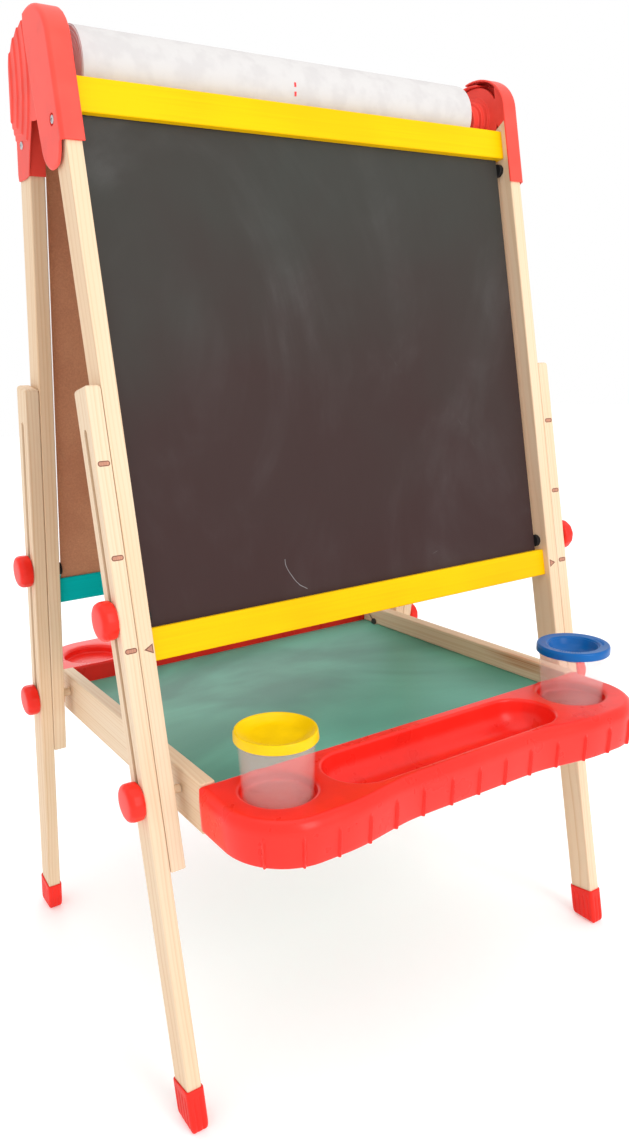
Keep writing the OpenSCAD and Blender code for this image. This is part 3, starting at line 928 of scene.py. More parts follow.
@dataclass(frozen=True)
class PaintFinish(Finish):
    """A satin coat of paint."""

    tint: Colour
    gloss: float = 0.32
    shine: float = 0.08
    relief: float = 0.00012

    def wire(self, w: Wiring, shader: Node, place: Socket) -> None:
        """Wires the surface."""
        made = Effect.put(w, "sprayed coat", {"Place": place, "Tint": self.tint, "Gloss": self.gloss})
        w.surface(shader, made["Colour"], made["Roughness"], made["Height"], 0.45, self.relief)
        shader.inputs["Specular IOR Level"].default_value = self.shine


@dataclass(frozen=True)
class ChalkFinish(Finish):
    """Matt chalkboard paint with wiped chalk and a stray chalk hair."""

    name: str = "chalk_paint"
    slate: Colour = (0.040, 0.042, 0.036, 1.0)
    brown_slate: Colour = (0.040, 0.019, 0.018, 1.0)
    low_z: float = 0.50
    high_z: float = 1.00
    chalk: Colour = (0.34, 0.34, 0.35, 1.0)
    hair_centre: tuple[float, float, float] = (-0.0575, -0.115, 0.502)
    hair_radius: float = 0.041

    def wire(self, w: Wiring, shader: Node, place: Socket) -> None:
        """Wires the surface."""
        made = Effect.put(w, "wiped chalk", {"Place": place})
        tone = w.noise(place, 4.2, 3.0, 0.55, 0.6)
        height = w.plus(w.parts(place)[2], w.times(w.minus(tone, 0.5), 0.45))
        base = w.mix(w.ramp(height, self.low_z, self.high_z), self.brown_slate, self.slate)
        share = w.plus(w.times(made["Dust"], 0.16), w.times(made["Scratch"], 0.20))
        hair = self.hair(w, place)
        base = w.mix(w.math("MAXIMUM", share, hair), base, self.chalk)
        rough = w.plus(0.50, w.times(made["Streak"], 0.14))
        fine = w.noise(place, 1300.0, 3.0, 0.7)
        w.surface(shader, base, w.plus(rough, w.times(made["Dust"], 0.12)), fine, 0.5, 0.00012)
        shader.inputs["Specular IOR Level"].default_value = 0.17

    def hair(self, w: Wiring, place: Socket) -> Socket:
        """A thin curved scratch of chalk: part of a ring round a point on the board."""
        step = w.add("VectorMath", {0: place, 1: self.hair_centre}, operation="SUBTRACT").outputs[0]
        right, _, up = w.parts(step)
        wobble = w.times(w.minus(w.noise(place, 60.0, 2.0), 0.5), 0.004)
        away = w.math("SQRT", w.plus(w.times(right, right), w.times(up, up)))
        off = w.math("ABSOLUTE", w.minus(w.plus(away, wobble), self.hair_radius))
        line = w.ramp(off, 0.00012, 0.00055, 1.0, 0.0)
        left_half = w.math("LESS_THAN", right, -0.019)
        low_half = w.math("LESS_THAN", up, -0.004)
        return w.times(line, w.times(w.times(left_half, low_half), 0.60))


@dataclass(frozen=True)
class GlossBoardFinish(Finish):
    """The white writing face of the rear board."""

    name: str = "white_enamel"
    white: Colour = (0.83, 0.84, 0.84, 1.0)

    def wire(self, w: Wiring, shader: Node, place: Socket) -> None:
        """Wires the surface."""
        made = Effect.put(w, "wiped chalk", {"Place": place})
        share = w.plus(w.times(made["Dust"], 0.12), w.times(made["Scratch"], 0.06))
        w.surface(shader, w.mix(share, self.white, (0.45, 0.50, 0.58, 1.0)),
                  w.plus(0.10, w.times(made["Dust"], 0.2)),
                  w.noise(place, 70.0, 2.0), 0.25, 0.0002)


@dataclass(frozen=True)
class HardboardFinish(Finish):
    """The bare brown back of a board, with pressed fibres."""

    name: str = "brown_hardboard"
    brown: Colour = (0.50, 0.21, 0.11, 1.0)
    light: Colour = (0.64, 0.31, 0.17, 1.0)

    def wire(self, w: Wiring, shader: Node, place: Socket) -> None:
        """Wires the surface."""
        speck = w.noise(place, 520.0, 4.0, 0.7)
        fibre = w.noise(w.stretch(place, (240.0, 240.0, 520.0)), 1.0, 4.0, 0.7, 1.5)
        cloud = w.noise(place, 12.0, 3.0)
        share = w.plus(w.times(speck, 0.5), w.times(cloud, 0.5))
        base = w.mix(w.ramp(share, 0.36, 0.66), self.brown, self.light)
        base = w.mix(w.times(w.ramp(fibre, 0.60, 0.75), 0.35), base, (0.16, 0.06, 0.03, 1.0))
        w.surface(shader, base, w.plus(0.55, w.times(speck, 0.2)), w.plus(speck, fibre), 0.5, 0.0003)


@dataclass(frozen=True)
class ShelfPaintFinish(Finish):
    """The green coat of the shelf board, cloudy where it was wiped."""

    name: str = "green_coat"
    deep: Colour = (0.068, 0.265, 0.19, 1.0)
    light: Colour = (0.135, 0.47, 0.345, 1.0)

    def wire(self, w: Wiring, shader: Node, place: Socket) -> None:
        """Wires the surface."""
        made = Effect.put(w, "sprayed coat", {"Place": place, "Tint": self.light, "Gloss": 0.30})
        cloud = w.noise(w.stretch(place, (3.2, 5.0, 5.0)), 1.0, 3.0, 0.5, 0.9)
        share = w.ramp(cloud, 0.32, 0.66)
        w.surface(shader, w.mix(share, self.deep, made["Colour"]),
                  w.plus(made["Roughness"], w.times(cloud, 0.10)),
                  made["Height"], 0.4, 0.00015)
        shader.inputs["Specular IOR Level"].default_value = 0.35


@dataclass(frozen=True)
class PaperFinish(Finish):
    """Plain drawing paper, with its wraps showing on the ends of the roll."""

    name: str = "drawing_paper"
    white: Colour = (0.62, 0.60, 0.59, 1.0)

    def wire(self, w: Wiring, shader: Node, place: Socket) -> None:
        """Wires the surface."""
        tooth = w.noise(place, 1500.0, 3.0, 0.7)
        cloud = w.noise(place, 55.0, 3.0)
        ripple = w.noise(w.stretch(place, (9.0, 60.0, 60.0)), 1.0, 2.0)
        grey = w.mix(1.0, self.white, (0.93, 0.925, 0.93, 1.0), "MULTIPLY")
        w.surface(shader, w.mix(w.ramp(cloud, 0.35, 0.6), grey, self.white),
                  w.plus(0.78, w.times(tooth, 0.12)),
                  w.plus(w.times(tooth, 0.12), ripple), 0.35, 0.0007)


@dataclass(frozen=True)
class CardFinish(Finish):
    """The grey-brown board of the roll's core."""

    name: str = "core_board"
    brown: Colour = (0.36, 0.26, 0.17, 1.0)

    def wire(self, w: Wiring, shader: Node, place: Socket) -> None:
        """Wires the surface."""
        speck = w.noise(place, 700.0, 4.0, 0.7)
        dark = w.mix(1.0, self.brown, (0.72, 0.68, 0.62, 1.0), "MULTIPLY")
        w.surface(shader, w.mix(speck, dark, self.brown),
                  w.plus(0.72, w.times(speck, 0.15)),
                  speck, 0.4, 0.0002)


@dataclass(frozen=True)
class MetalFinish(Finish):
    """Plated or turned metal with fine wear."""

    tint: Colour
    gloss: float

    def wire(self, w: Wiring, shader: Node, place: Socket) -> None:
        """Wires the surface."""
        haze = w.noise(place, 260.0, 4.0, 0.6)
        fine = w.noise(place, 2600.0, 2.0)
        dull = w.mix(1.0, self.tint, (0.70, 0.70, 0.72, 1.0), "MULTIPLY")
        w.surface(shader, w.mix(haze, dull, self.tint),
                  w.plus(self.gloss, w.times(haze, 0.22)),
                  fine, 0.3, 0.0001)
        shader.inputs["Metallic"].default_value = 1.0


@dataclass(frozen=True)
class InkFinish(Finish):
    """Printed or burnt colour that sinks into what it marks."""

    tint: Colour

    def wire(self, w: Wiring, shader: Node, place: Socket) -> None:
        """Wires the surface."""
        fibre = w.noise(w.stretch(place, (900.0, 300.0, 60.0)), 1.0, 3.0, 0.6)
        worn = w.mix(1.0, self.tint, (1.35, 1.30, 1.25, 1.0), "MULTIPLY")
        w.surface(shader, w.mix(w.ramp(fibre, 0.40, 0.66), self.tint, worn),
                  w.plus(0.48, w.times(fibre, 0.2)),
                  fibre, 0.25, 0.0002)


@dataclass(frozen=True)
class FloorFinish(Finish):
    """The plain pale floor, nearly white."""

    def wire(self, w: Wiring, shader: Node, place: Socket) -> None:
        """Wires the surface."""
        cloud = w.noise(place, 1.5, 2.0)
        w.feed(shader.inputs["Base Color"], w.mix(cloud, (0.93, 0.93, 0.93, 1.0), (0.95, 0.95, 0.95, 1.0)))
        shader.inputs["Roughness"].default_value = 0.7
        shader.inputs["Emission Color"].default_value = (1.0, 1.0, 1.0, 1.0)
        shader.inputs["Emission Strength"].default_value = 0.16


@dataclass
class Stock:
    """Every finish of the easel, made once."""

    made: dict[str, bpy.types.Material] = field(default_factory=dict)

    def __post_init__(self) -> None:
        """Builds the finishes."""
        red_bloom: Colour = (1.0, 0.16, 0.10, 1.0)
        finishes = [
            PineFinish("pine"),
            PineFinish("pine_with_heart", heart=0.9, heart_at=(13.5 - 0.126, 0.2836, 0.3795)),
            MouldFinish("red_moulding", (0.95, 0.026, 0.014, 1.0), red_bloom),
            MouldFinish("cap_moulding", (0.97, 0.082, 0.058, 1.0), (1.0, 0.22, 0.16, 1.0), gloss=0.34),
            MouldFinish("tray_moulding", (0.95, 0.024, 0.014, 1.0), red_bloom, gloss=0.24, shine=0.30),
            MouldFinish("foot_moulding", (0.90, 0.022, 0.012, 1.0), red_bloom, gloss=0.38),
            MouldFinish("yellow_moulding", (0.95, 0.62, 0.0, 1.0), (1.0, 0.80, 0.12, 1.0)),
            MouldFinish("blue_moulding", (0.0, 0.115, 0.40, 1.0), (0.06, 0.25, 0.60, 1.0), gloss=0.26),
            # Frosted cups: the milky white is the cups' own colour; the pink in their tint is painted
            # reflection of the red tray they stand in.
            MouldFinish("frosted_moulding", (1.0, 0.72, 0.70, 1.0), (1.0, 0.92, 0.92, 1.0),
                        gloss=0.22, cover=0.13, relief=0.00010, shine=0.6),
            MouldFinish("black_rubber", (0.012, 0.012, 0.013, 1.0), (0.05, 0.05, 0.05, 1.0), gloss=0.5),
            PaintFinish("yellow_coat", (0.93, 0.545, 0.0, 1.0)),
            PaintFinish("teal_coat", (0.0, 0.52, 0.53, 1.0)),
            ChalkFinish(), GlossBoardFinish(), HardboardFinish(), ShelfPaintFinish(), PaperFinish(),
            CardFinish(),
            MetalFinish("zinc", (0.66, 0.67, 0.69, 1.0), 0.22),
            MetalFinish("dark_zinc", (0.16, 0.15, 0.145, 1.0), 0.34),
            MetalFinish("brass", (0.80, 0.58, 0.25, 1.0), 0.25),
            InkFinish("burnt_dark", (0.16, 0.055, 0.030, 1.0)),
            InkFinish("burnt_light", (0.42, 0.19, 0.12, 1.0)),
            InkFinish("red_ink", (0.80, 0.03, 0.03, 1.0)),
        ]
        for finish in finishes:
            self.made[finish.name] = finish.build()

    def __getitem__(self, name: str) -> bpy.types.Material:
        """The finish of this name."""
        return self.made[name]

    def dress(self, node: str, finish: str) -> None:
        """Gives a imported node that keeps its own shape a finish."""
        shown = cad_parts[node]
        shown.data.materials.clear()
        shown.data.materials.append(self[finish])
        log.info("%s keeps its shape, in %s", node, finish)


# Timber


@dataclass
class Timber:
    """Posts, legs, painted rails and the rails of the shelf."""

    stock: Stock
    edge: float = 1.5
    leg_end: float = 3.4
    mark_s: tuple[float, ...] = (371.0, 453.0, 535.5)
    pill: Flat = (5.7, 2.4)
    pointer_s: float = 537.0
    pointer: Flat = (8.8, 4.6)
    print_h: float = 0.12
    rod: Flat = (255.6, 9.5)

    def build(self) -> None:
        """Makes every stick and its marks."""
        for number, corner in enumerate(Corner):
            self.post(corner, number)
            self.leg(corner, number)
            self.marks(corner)
        for number, side in enumerate(("left", "right")):
            self.shelf_rail(side, number)
        for end, coat in (("front", "yellow"), ("rear", "teal")):
            for level in ("top", "bottom"):
                self.painted_rail(end, level, coat)
        self.roll_rod()

    def post(self, corner: Corner, number: int) -> None:
        """One post, with its mortises and thread holes."""
        node = f"{corner.end}_post_{corner.side}"
        place = PLAN.place(corner)
        piece = Piece(f"{node}_stick", (self.stock["pine"],), corner.frame_body, "pine", (node,),
                      Grain(2, number + 1))
        Blank.from_node(node, place).ease(sharp_edges(self.edge, 13.5)).finish(piece, place)

    def leg(self, corner: Corner, number: int) -> None:
        """One sliding leg, with its slot and its rounded upper end."""
        node = f"leg_{corner.tag}"
        place = PLAN.place(corner)
        blank = Blank.from_node(node, place)
        top = max(v.co.z for v in blank.bm.verts)
        plain = sharp_edges(self.edge, 6.8)
        slot_in, slot_out = PLAN.stick_d / 2 - 4.0, PLAN.stick_d / 2 + 4.0

        def rule(edge: Edge) -> float:
            """Rounder at the upper end, finer round the slot."""
            middle = (edge.verts[0].co + edge.verts[1].co) / 2
            if middle.z > top - 1.0:
                return self.leg_end if plain(edge) else 0.0
            return plain(edge) * (0.45 if slot_in < middle.y < slot_out else 1.0)

        piece = Piece(f"{node}_stick", (self.stock["pine"],), node, "pine", (node,), Grain(2, number + 6))
        blank.ease(rule, 4).finish(piece, place)

    def marks(self, corner: Corner) -> None:
        """Height marks on a leg, and the pointer on the post beside them."""
        place = PLAN.place(corner)
        materials = (self.stock["burnt_dark"], self.stock["burnt_light"])
        middle = (PLAN.leg_in + PLAN.leg_out) / 2
        pills = [self.printed(self.pill_outline(middle, s, shrink), shrink) for s in self.mark_s
                 for shrink in (0.0, 0.85)]
        piece = Piece(f"leg_{corner.tag}_height_marks", materials, f"leg_{corner.tag}", "pine")
        self.two_tone(pills).finish(piece, place)
        pointers = [self.printed(self.pointer_outline(shrink), shrink) for shrink in (0.0, 1.3)]
        piece = Piece(f"{corner.end}_post_{corner.side}_pointer", materials, corner.frame_body, "pine")
        self.two_tone(pointers).finish(piece, place)

    def pill_outline(self, x: float, s: float, shrink: float) -> list[Flat]:
        """The outline of a height mark, in x and height."""
        half, radius = self.pill
        return [(px + x, py - s) for px, py in stadium(half, radius, 0.0, -shrink, 15)]

    def pointer_outline(self, shrink: float) -> list[Flat]:
        """The outline of a pointer, in x and height."""
        length, half = self.pointer
        base = PLAN.post_in + 1.7 + shrink * 0.7
        tip = PLAN.post_in + 1.7 + length - shrink * 1.7
        return [(base, -self.pointer_s - half + shrink * 1.2), (tip, -self.pointer_s),
                (base, -self.pointer_s + half - shrink * 1.2)]

    def printed(self, outline: Sequence[Flat], shrink: float) -> Blank:
        """A thin film on the outer face of a stick; inner films lie on top."""
        rise = self.print_h * (1.0 if shrink else 0.55)
        rings = [[(x, depth, z) for x, z in outline] for depth in (0.02, -rise)]
        return Blank.loft(rings)

    def two_tone(self, films: Sequence[Blank]) -> Blank:
        """Joins films, the odd ones in the dark ink and the even ones in the light ink."""
        for number, film in enumerate(films):
            for face in film.bm.faces:
                face.material_index = number % 2
        return films[0].with_loose(*films[1:])

    def painted_rail(self, end: str, level: str, coat: str) -> None:
        """A painted rail with its groove, set between the posts."""
        node = f"{end}_{level}_rail"
        place = PLAN.place(Corner.FRONT_RIGHT if end == "front" else Corner.REAR_RIGHT)
        piece = Piece(f"{node}_bar", (self.stock[f"{coat}_coat"],), f"{end}_frame", f"{coat}_paint", (node,))
        Blank.from_node(node, place).ease(sharp_edges(1.3, 300.0), 4).finish(piece, place)

    def shelf_rail(self, side: str, number: int) -> None:
        """A rail of the shelf. The right one was cut near the heart of the tree."""
        node = f"shelf_rail_{side}"
        finish = "pine_with_heart" if side == "right" else "pine"
        grain = Grain(1, 5) if side == "right" else Grain(1, number + 11)
        piece = Piece(f"{node}_stick", (self.stock[finish],), "shelf", "pine", (node,), grain)
        Blank.from_node(node, UPRIGHT).ease(sharp_edges(self.edge, 13.5)).finish(piece, UPRIGHT)

    def roll_rod(self) -> None:
        """The round rod that carries the paper."""
        depth, height = PLAN.hinge()
        place = PLAN.place(Corner.FRONT_RIGHT) @ Matrix.Translation((0.0, depth, height))
        half, radius = self.rod
        profile = [(0.0, -half), (radius - 1.2, -half), (radius, -half + 1.2), (radius, half - 1.2),
                   (radius - 1.2, half), (0.0, half)]
        piece = Piece("roll_rod_dowel", (self.stock["pine"],), "front_frame", "pine", ("roll_rod",),
                      Grain(0, 14))
        Blank.turned(profile, 64, "X").finish(piece, place)


# Boards


@dataclass
class Boards:
    """The chalkboard, the whiteboard, their spacers, and the shelf board."""

    stock: Stock
    edge: float = 0.35

    def build(self) -> None:
        """Makes the boards."""
        self.writing_board("chalkboard", Corner.FRONT_RIGHT, "chalk_paint", "chalkboard_face")
        self.writing_board("whiteboard", Corner.REAR_RIGHT, "white_enamel", "whiteboard_panel")
        self.spacers("chalkboard_pins", Corner.FRONT_RIGHT)
        self.spacers("whiteboard_pins", Corner.REAR_RIGHT)
        piece = Piece("shelf_board_panel", (self.stock["green_coat"],), "shelf", "green_paint",
                      ("shelf_board",))
        Blank.from_node("shelf_board", UPRIGHT).ease(sharp_edges(self.edge), 2).finish(piece, UPRIGHT)

    def writing_board(self, node: str, corner: Corner, face_finish: str, slot: str) -> None:
        """A board with a finished outer face and a bare brown back.

        Args:
            node: The board's node.
            corner: A corner of the frame that holds it.
            face_finish: The finish of its outer face.
            slot: The board's slot.
        """
        place = PLAN.place(corner)
        blank = Blank.from_node(node, place).ease(sharp_edges(self.edge), 2)
        blank.bm.normal_update()
        for face in blank.bm.faces:
            face.material_index = 0 if face.normal.y < -0.3 else 1
        materials = (self.stock[face_finish], self.stock["brown_hardboard"])
        blank.finish(Piece(f"{node}_panel", materials, corner.frame_body, slot, (node,)), place)

    def spacers(self, node: str, corner: Corner) -> None:
        """The black spacers between a board and the posts, with rounded rims."""
        place = PLAN.place(corner)
        piece = Piece(f"{node}_set", (self.stock["black_rubber"],), corner.frame_body, "black_plastic",
                      (node,))

        def rim(edge: Edge) -> float:
            """Only the rims of the wide part are round."""
            wide = edge.calc_face_angle(0.0) > math.radians(60)
            return 0.7 if wide and edge.verts[0].co.x ** 2 < (PLAN.post_in + 0.5) ** 2 else 0.0

        Blank.from_node(node, place).ease(rim, 3).finish(piece, place)


# Caps


@dataclass
class Caps:
    """The red domes over the posts: a smooth front shell and a stepped rear one."""

    stock: Stock
    skin: float = 2.0
    inner_x: float = 252.0
    outer_x: float = 273.4
    outer_wall: float = 1.8
    inner_fillet: float = 1.2
    reach: float = 53.55
    rise: float = 46.0
    brow: float = 4.2
    flap_s: float = 101.0
    tongue_s: float = 117.0
    rear_r: float = 42.0
    rear_lip: float = 105.0
    rear_in: float = 269.5
    rear_wall: float = 1.3
    wrap_top: float = -50.0
    wrap_out: float = 3.0
    boss_r: float = 19.5
    boss_in: float = 240.0
    boss_steps: tuple[Flat, ...] = ((0.0, 0.0), (8.0, 4.0), (13.0, 8.5))
    screw_boss_r: float = 7.0
    plate_in: float = 256.0
    plate_t: float = 3.0
    post_top: Flat = (-32.0, -44.0)
    clear: float = 0.4
    step_count: int = 4
    step_pitch: float = 12.0
    step_rise: float = 1.3
    step_r: float = 110.0
    step_brow: float = 1.2
    grid: float = 0.6

    def build(self) -> None:
        """Makes the four caps: each shape once, placed on both sides."""
        shapes = {"front": self.bored(self.front_cap(), self.front_bores()),
                  "rear": self.bored(self.rear_cap(), self.rear_bores())}
        for corner in Corner:
            node = f"{corner.end}_cap_{corner.side}"
            piece = Piece(f"{node}_shell", (self.stock["cap_moulding"],), corner.frame_body, "red_plastic",
                          (node,), crease=60.0)
            shapes[corner.end].copy().finish(piece, PLAN.place(corner))

    def bored(self, raw: Blank, bores: Sequence[Blank]) -> Blank:
        """Melts a raw shape into one moulding and drills it."""
        return raw.melt(self.grid, 4, 0.30).cut(*bores)

    def round_bar(self, depth: float, height: float, low: float, high: float, radius: float) -> Blank:
        """A round bar along x."""
        return Blank.prism(arc((depth, height), (radius, radius), 0, 352.5, 7.5), low, high)

    def at_hinge(self, low: float, high: float, radius: float) -> Blank:
        """A round bar on the hinge line."""
        return self.round_bar(*PLAN.hinge(), low, high, radius)

    def at_screw(self, low: float, high: float, radius: float) -> Blank:
        """A round bar on the line of the cap's screw."""
        return self.round_bar(PLAN.stick_d / 2, -PLAN.cap_screw_s, low, high, radius)

    def front_outline(self) -> list[Flat]:
        """Side view of the front shell, clockwise: dome, straight flap and rounded tongue."""
        dome = arc(PLAN.hinge(), (self.reach, self.rise), 180, 90, 3)
        back = [dome[-1], (56.0, 14.0), (56.5, -4.0), (56.0, -30.0), (54.0, -56.0), (52.5, -80.0),
                (50.5, -97.0), (44.0, -107.5), (34.0, -114.5), (22.0, -self.tongue_s),
                (12.0, -self.tongue_s + 1.0), (5.0, -self.flap_s - 8.0), (1.5, -self.flap_s)]
        return [(PLAN.hinge()[0] - self.reach, -self.flap_s), *dome[:-1], *soft_curve(back, 5)]

    def pocket(self, inset: float, far: float) -> Blank:
        """The room inside the front shell, open towards the rear and the floor."""
        radii = (self.reach - self.skin - inset, self.rise - self.skin - inset)
        dome = arc(PLAN.hinge(), radii, 180, 0, 3)
        outline = [(dome[0][0], -2 * self.flap_s), *dome, (2 * self.reach, -2 * self.flap_s)]
        return Blank.prism(outline, self.inner_x - 1, far)

    def front_cap(self) -> Blank:
        """The smooth front shell with the socket of the roll rod."""
        shell = Blank.pillow(self.front_outline(), self.inner_x, self.outer_x, self.brow)
        inside = self.outer_x - self.outer_wall
        shell.cut(self.pocket(0.0, inside - self.inner_fillet), self.pocket(self.inner_fillet, inside))
        high, low = self.post_top
        slope = (high - low) / PLAN.stick_d
        fall = math.hypot(1.0, slope)
        over_post = ((0.0, high + self.clear), (-slope / fall, -1.0 / fall))
        disc = arc(PLAN.hinge(), (self.rear_r - self.skin - 0.6,) * 2, 0, 357, 3)
        web = [(-0.5, -36.0), (13.5, -36.0), (13.5, 12.5), (9.0, 8.0), (3.0, -1.5), (-0.5, -10.0)]
        inner = ((self.reach - 55.0, 0.0), (-1.0, 0.0))
        plates = [Blank.prism(clipped(outline, borders), self.plate_in, self.plate_in + self.plate_t)
                  for outline, borders in ((disc, [over_post, inner]), (web, [over_post]))]
        rings = [self.at_hinge(self.boss_in + start, self.plate_in + self.plate_t - 1, self.boss_r + wider)
                 for start, wider in self.boss_steps]
        return shell.with_loose(*plates, *rings,
                                self.at_screw(PLAN.post_out + 0.3, self.outer_x - 1, self.screw_boss_r))

    def front_bores(self) -> list[Blank]:
        """The socket of the rod, the hole of the hinge pin and the sunk hole of the screw."""
        return [self.at_hinge(self.boss_in - 1, self.plate_in, 9.8),
                self.at_hinge(self.boss_in - 1, self.boss_in + 2.0, 14.0),
                self.at_hinge(self.plate_in - 1, self.outer_x - 2.4, 4.2),
                self.at_screw(self.outer_x - 2.6, self.outer_x + 1, 5.2),
                self.at_screw(PLAN.post_out - 1, self.outer_x + 1, 2.3)]

    def rear_outline(self) -> list[Flat]:
        """Side view of the rear shell, clockwise."""
        depth = PLAN.hinge()[0]
        dome = arc(PLAN.hinge(), (self.reach, self.rear_r), 180, 90, 3)
        back = arc(PLAN.hinge(), (self.rear_r, self.rear_r), 87, -100, 3)
        tail = soft_curve([(42.0, -68.0), (38.0, -80.0), (34.0, -95.0), (31.4, -self.rear_lip)], 4)
        return [(depth - self.reach, -self.rear_lip), *dome, *back, *tail,
                (20.0, -self.rear_lip - 3.0), (4.0, -self.rear_lip - 5.0), (0.0, -self.rear_lip - 5.0)]

    def rear_band(self) -> list[Flat]:
        """The strip of the rear shell that wraps over the post, as an outline."""
        depth = PLAN.hinge()[0]
        outside = [(depth - self.reach, -self.rear_lip),
                   *arc(PLAN.hinge(), (self.reach, self.rear_r), 180, 90, 3),
                   *arc(PLAN.hinge(), (self.rear_r,) * 2, 87, 84, 3)]
        thin = self.rear_r - self.skin
        inside = [*arc(PLAN.hinge(), (thin, thin), 84, 87, 3),
                  *arc(PLAN.hinge(), (self.reach - self.skin, thin), 90, 180, 3),
                  (depth - self.reach + self.skin, -self.rear_lip)]
        return outside + inside

    def rear_cap(self) -> Blank:
        """The stepped rear shell, which turns under the front one."""
        far = self.rear_in + self.rear_wall
        wall = Blank.prism(self.rear_outline(), self.rear_in, far)
        wrap = Blank.box((PLAN.post_in, PLAN.stick_d + self.clear, -self.rear_lip),
                         (far, PLAN.stick_d + self.wrap_out, self.wrap_top))
        fans = [Blank.pillow(self.fan(i), self.rear_in, far + i * self.step_rise, self.step_brow)
                for i in range(1, self.step_count + 1)]
        return wall.with_loose(Blank.prism(self.rear_band(), self.inner_x, far), wrap, *fans,
                               self.at_screw(PLAN.post_out + 0.3, far, self.screw_boss_r))

    def fan(self, number: int) -> list[Flat]:
        """The outline of a stepped arc on the outer wall; later ones are narrower."""
        edge = self.step_pitch * (self.step_count - number) + 6.0
        disc = round_border((edge - self.step_r, PLAN.hinge()[1] - self.step_pitch), self.step_r)
        return clipped(self.rear_outline(), [*disc, ((0.0, -80.0 + 5 * number), (0.0, -1.0))])

    def rear_bores(self) -> list[Blank]:
        """The holes of the hinge pin and of the screw."""
        return [self.at_hinge(PLAN.post_out, self.outer_x + 5, 4.3),
                self.at_screw(PLAN.post_out - 1, self.outer_x + 5, 2.3)]


# Feet, knobs and screws


@dataclass
class Feet:
    """The fluted caps on the ends of the legs."""

    stock: Stock
    wall: float = 1.8
    top_s: float = 946.4
    corner_r: float = 3.4
    flute_w: float = 2.5
    flute_d: float = 0.85
    points_each_mm: float = 1.6

    def build(self) -> None:
        """Makes the four feet."""
        for corner in Corner:
            node = f"foot_{corner.tag}"
            piece = Piece(f"{node}_cap", (self.stock["foot_moulding"],), f"leg_{corner.tag}", "foot_plastic",
                          (node,), crease=50.0)
            self.shape().finish(piece, PLAN.place(corner))

    def section(self) -> list[tuple[Flat, Flat, float]]:
        """Points round the cap, each with its outward direction and the depth of the flute there."""
        low = (PLAN.leg_in - self.wall, -self.wall)
        high = (PLAN.leg_out + self.wall, PLAN.stick_d + self.wall)
        r = self.corner_r
        corners = [((high[0] - r, high[1] - r), 0), ((low[0] + r, high[1] - r), 90),
                   ((low[0] + r, low[1] + r), 180), ((high[0] - r, low[1] + r), 270)]
        turns = [(arc(c, (r, r), a, a + 90, 15), arc((0, 0), (1, 1), a, a + 90, 15)) for c, a in corners]
        made: list[tuple[Flat, Flat, float]] = []
        for number, (points, normals) in enumerate(turns):
            made += [(p, n, 0.0) for p, n in zip(points, normals)]
            start, stop, normal = points[-1], turns[(number + 1) % 4][0][0], normals[-1]
            length = math.dist(start, stop)
            count = round(length * self.points_each_mm)
            flutes = self.flute_places(length)
            for i in range(1, count):
                along = length * i / count
                point = tuple(a + (b - a) * i / count for a, b in zip(start, stop))
                near = min(abs(along - f) for f in flutes)
                made.append((point, normal, self.flute_d * (1 - wave(near / self.flute_w * 1.6))))
        return made

    def flute_places(self, length: float) -> list[float]:
        """Where the flutes are along a straight side."""
        count = 4 if length > 15 else 2
        return [length * (i + 0.5) / count for i in range(count)]

    def shape(self) -> Blank:
        """Builds the cap from its mouth down to the floor."""
        mouth = ((-8.0, 1.75, 0.0), (-0.4, 1.75, 0.0), (0.0, 1.35, 0.0), (0.0, 0.7, 0.0), (-0.5, 0.15, 0.0),
                 (-1.4, 0.0, 0.0), (-5.0, 0.0, 0.0), (-6.5, 0.0, 0.35), (-8.0, 0.0, 0.8), (-10.0, 0.0, 1.0))
        sole = ((12.0, 0.0), (6.5, 0.15), (4.0, 0.5), (2.2, 1.1), (0.9, 2.1), (0.2, 3.3), (0.0, 4.3))
        rings = [[(x, y, drop - self.top_s) for x, y in self.drawn_section(inset, flute)]
                 for drop, inset, flute in mouth]
        for lift, inset in sole:
            section = self.drawn_section(inset, min(1.0, lift / 3))
            rings.append([(x, y, PLAN.floor_height(y) + lift) for x, y in section])
        return Blank.loft(rings)

    def drawn_section(self, inset: float, flute: float) -> list[Flat]:
        """The section, drawn in and with its flutes at a share of their depth."""
        return [(p[0] - n[0] * (inset + d * flute), p[1] - n[1] * (inset + d * flute))
                for p, n, d in self.section()]


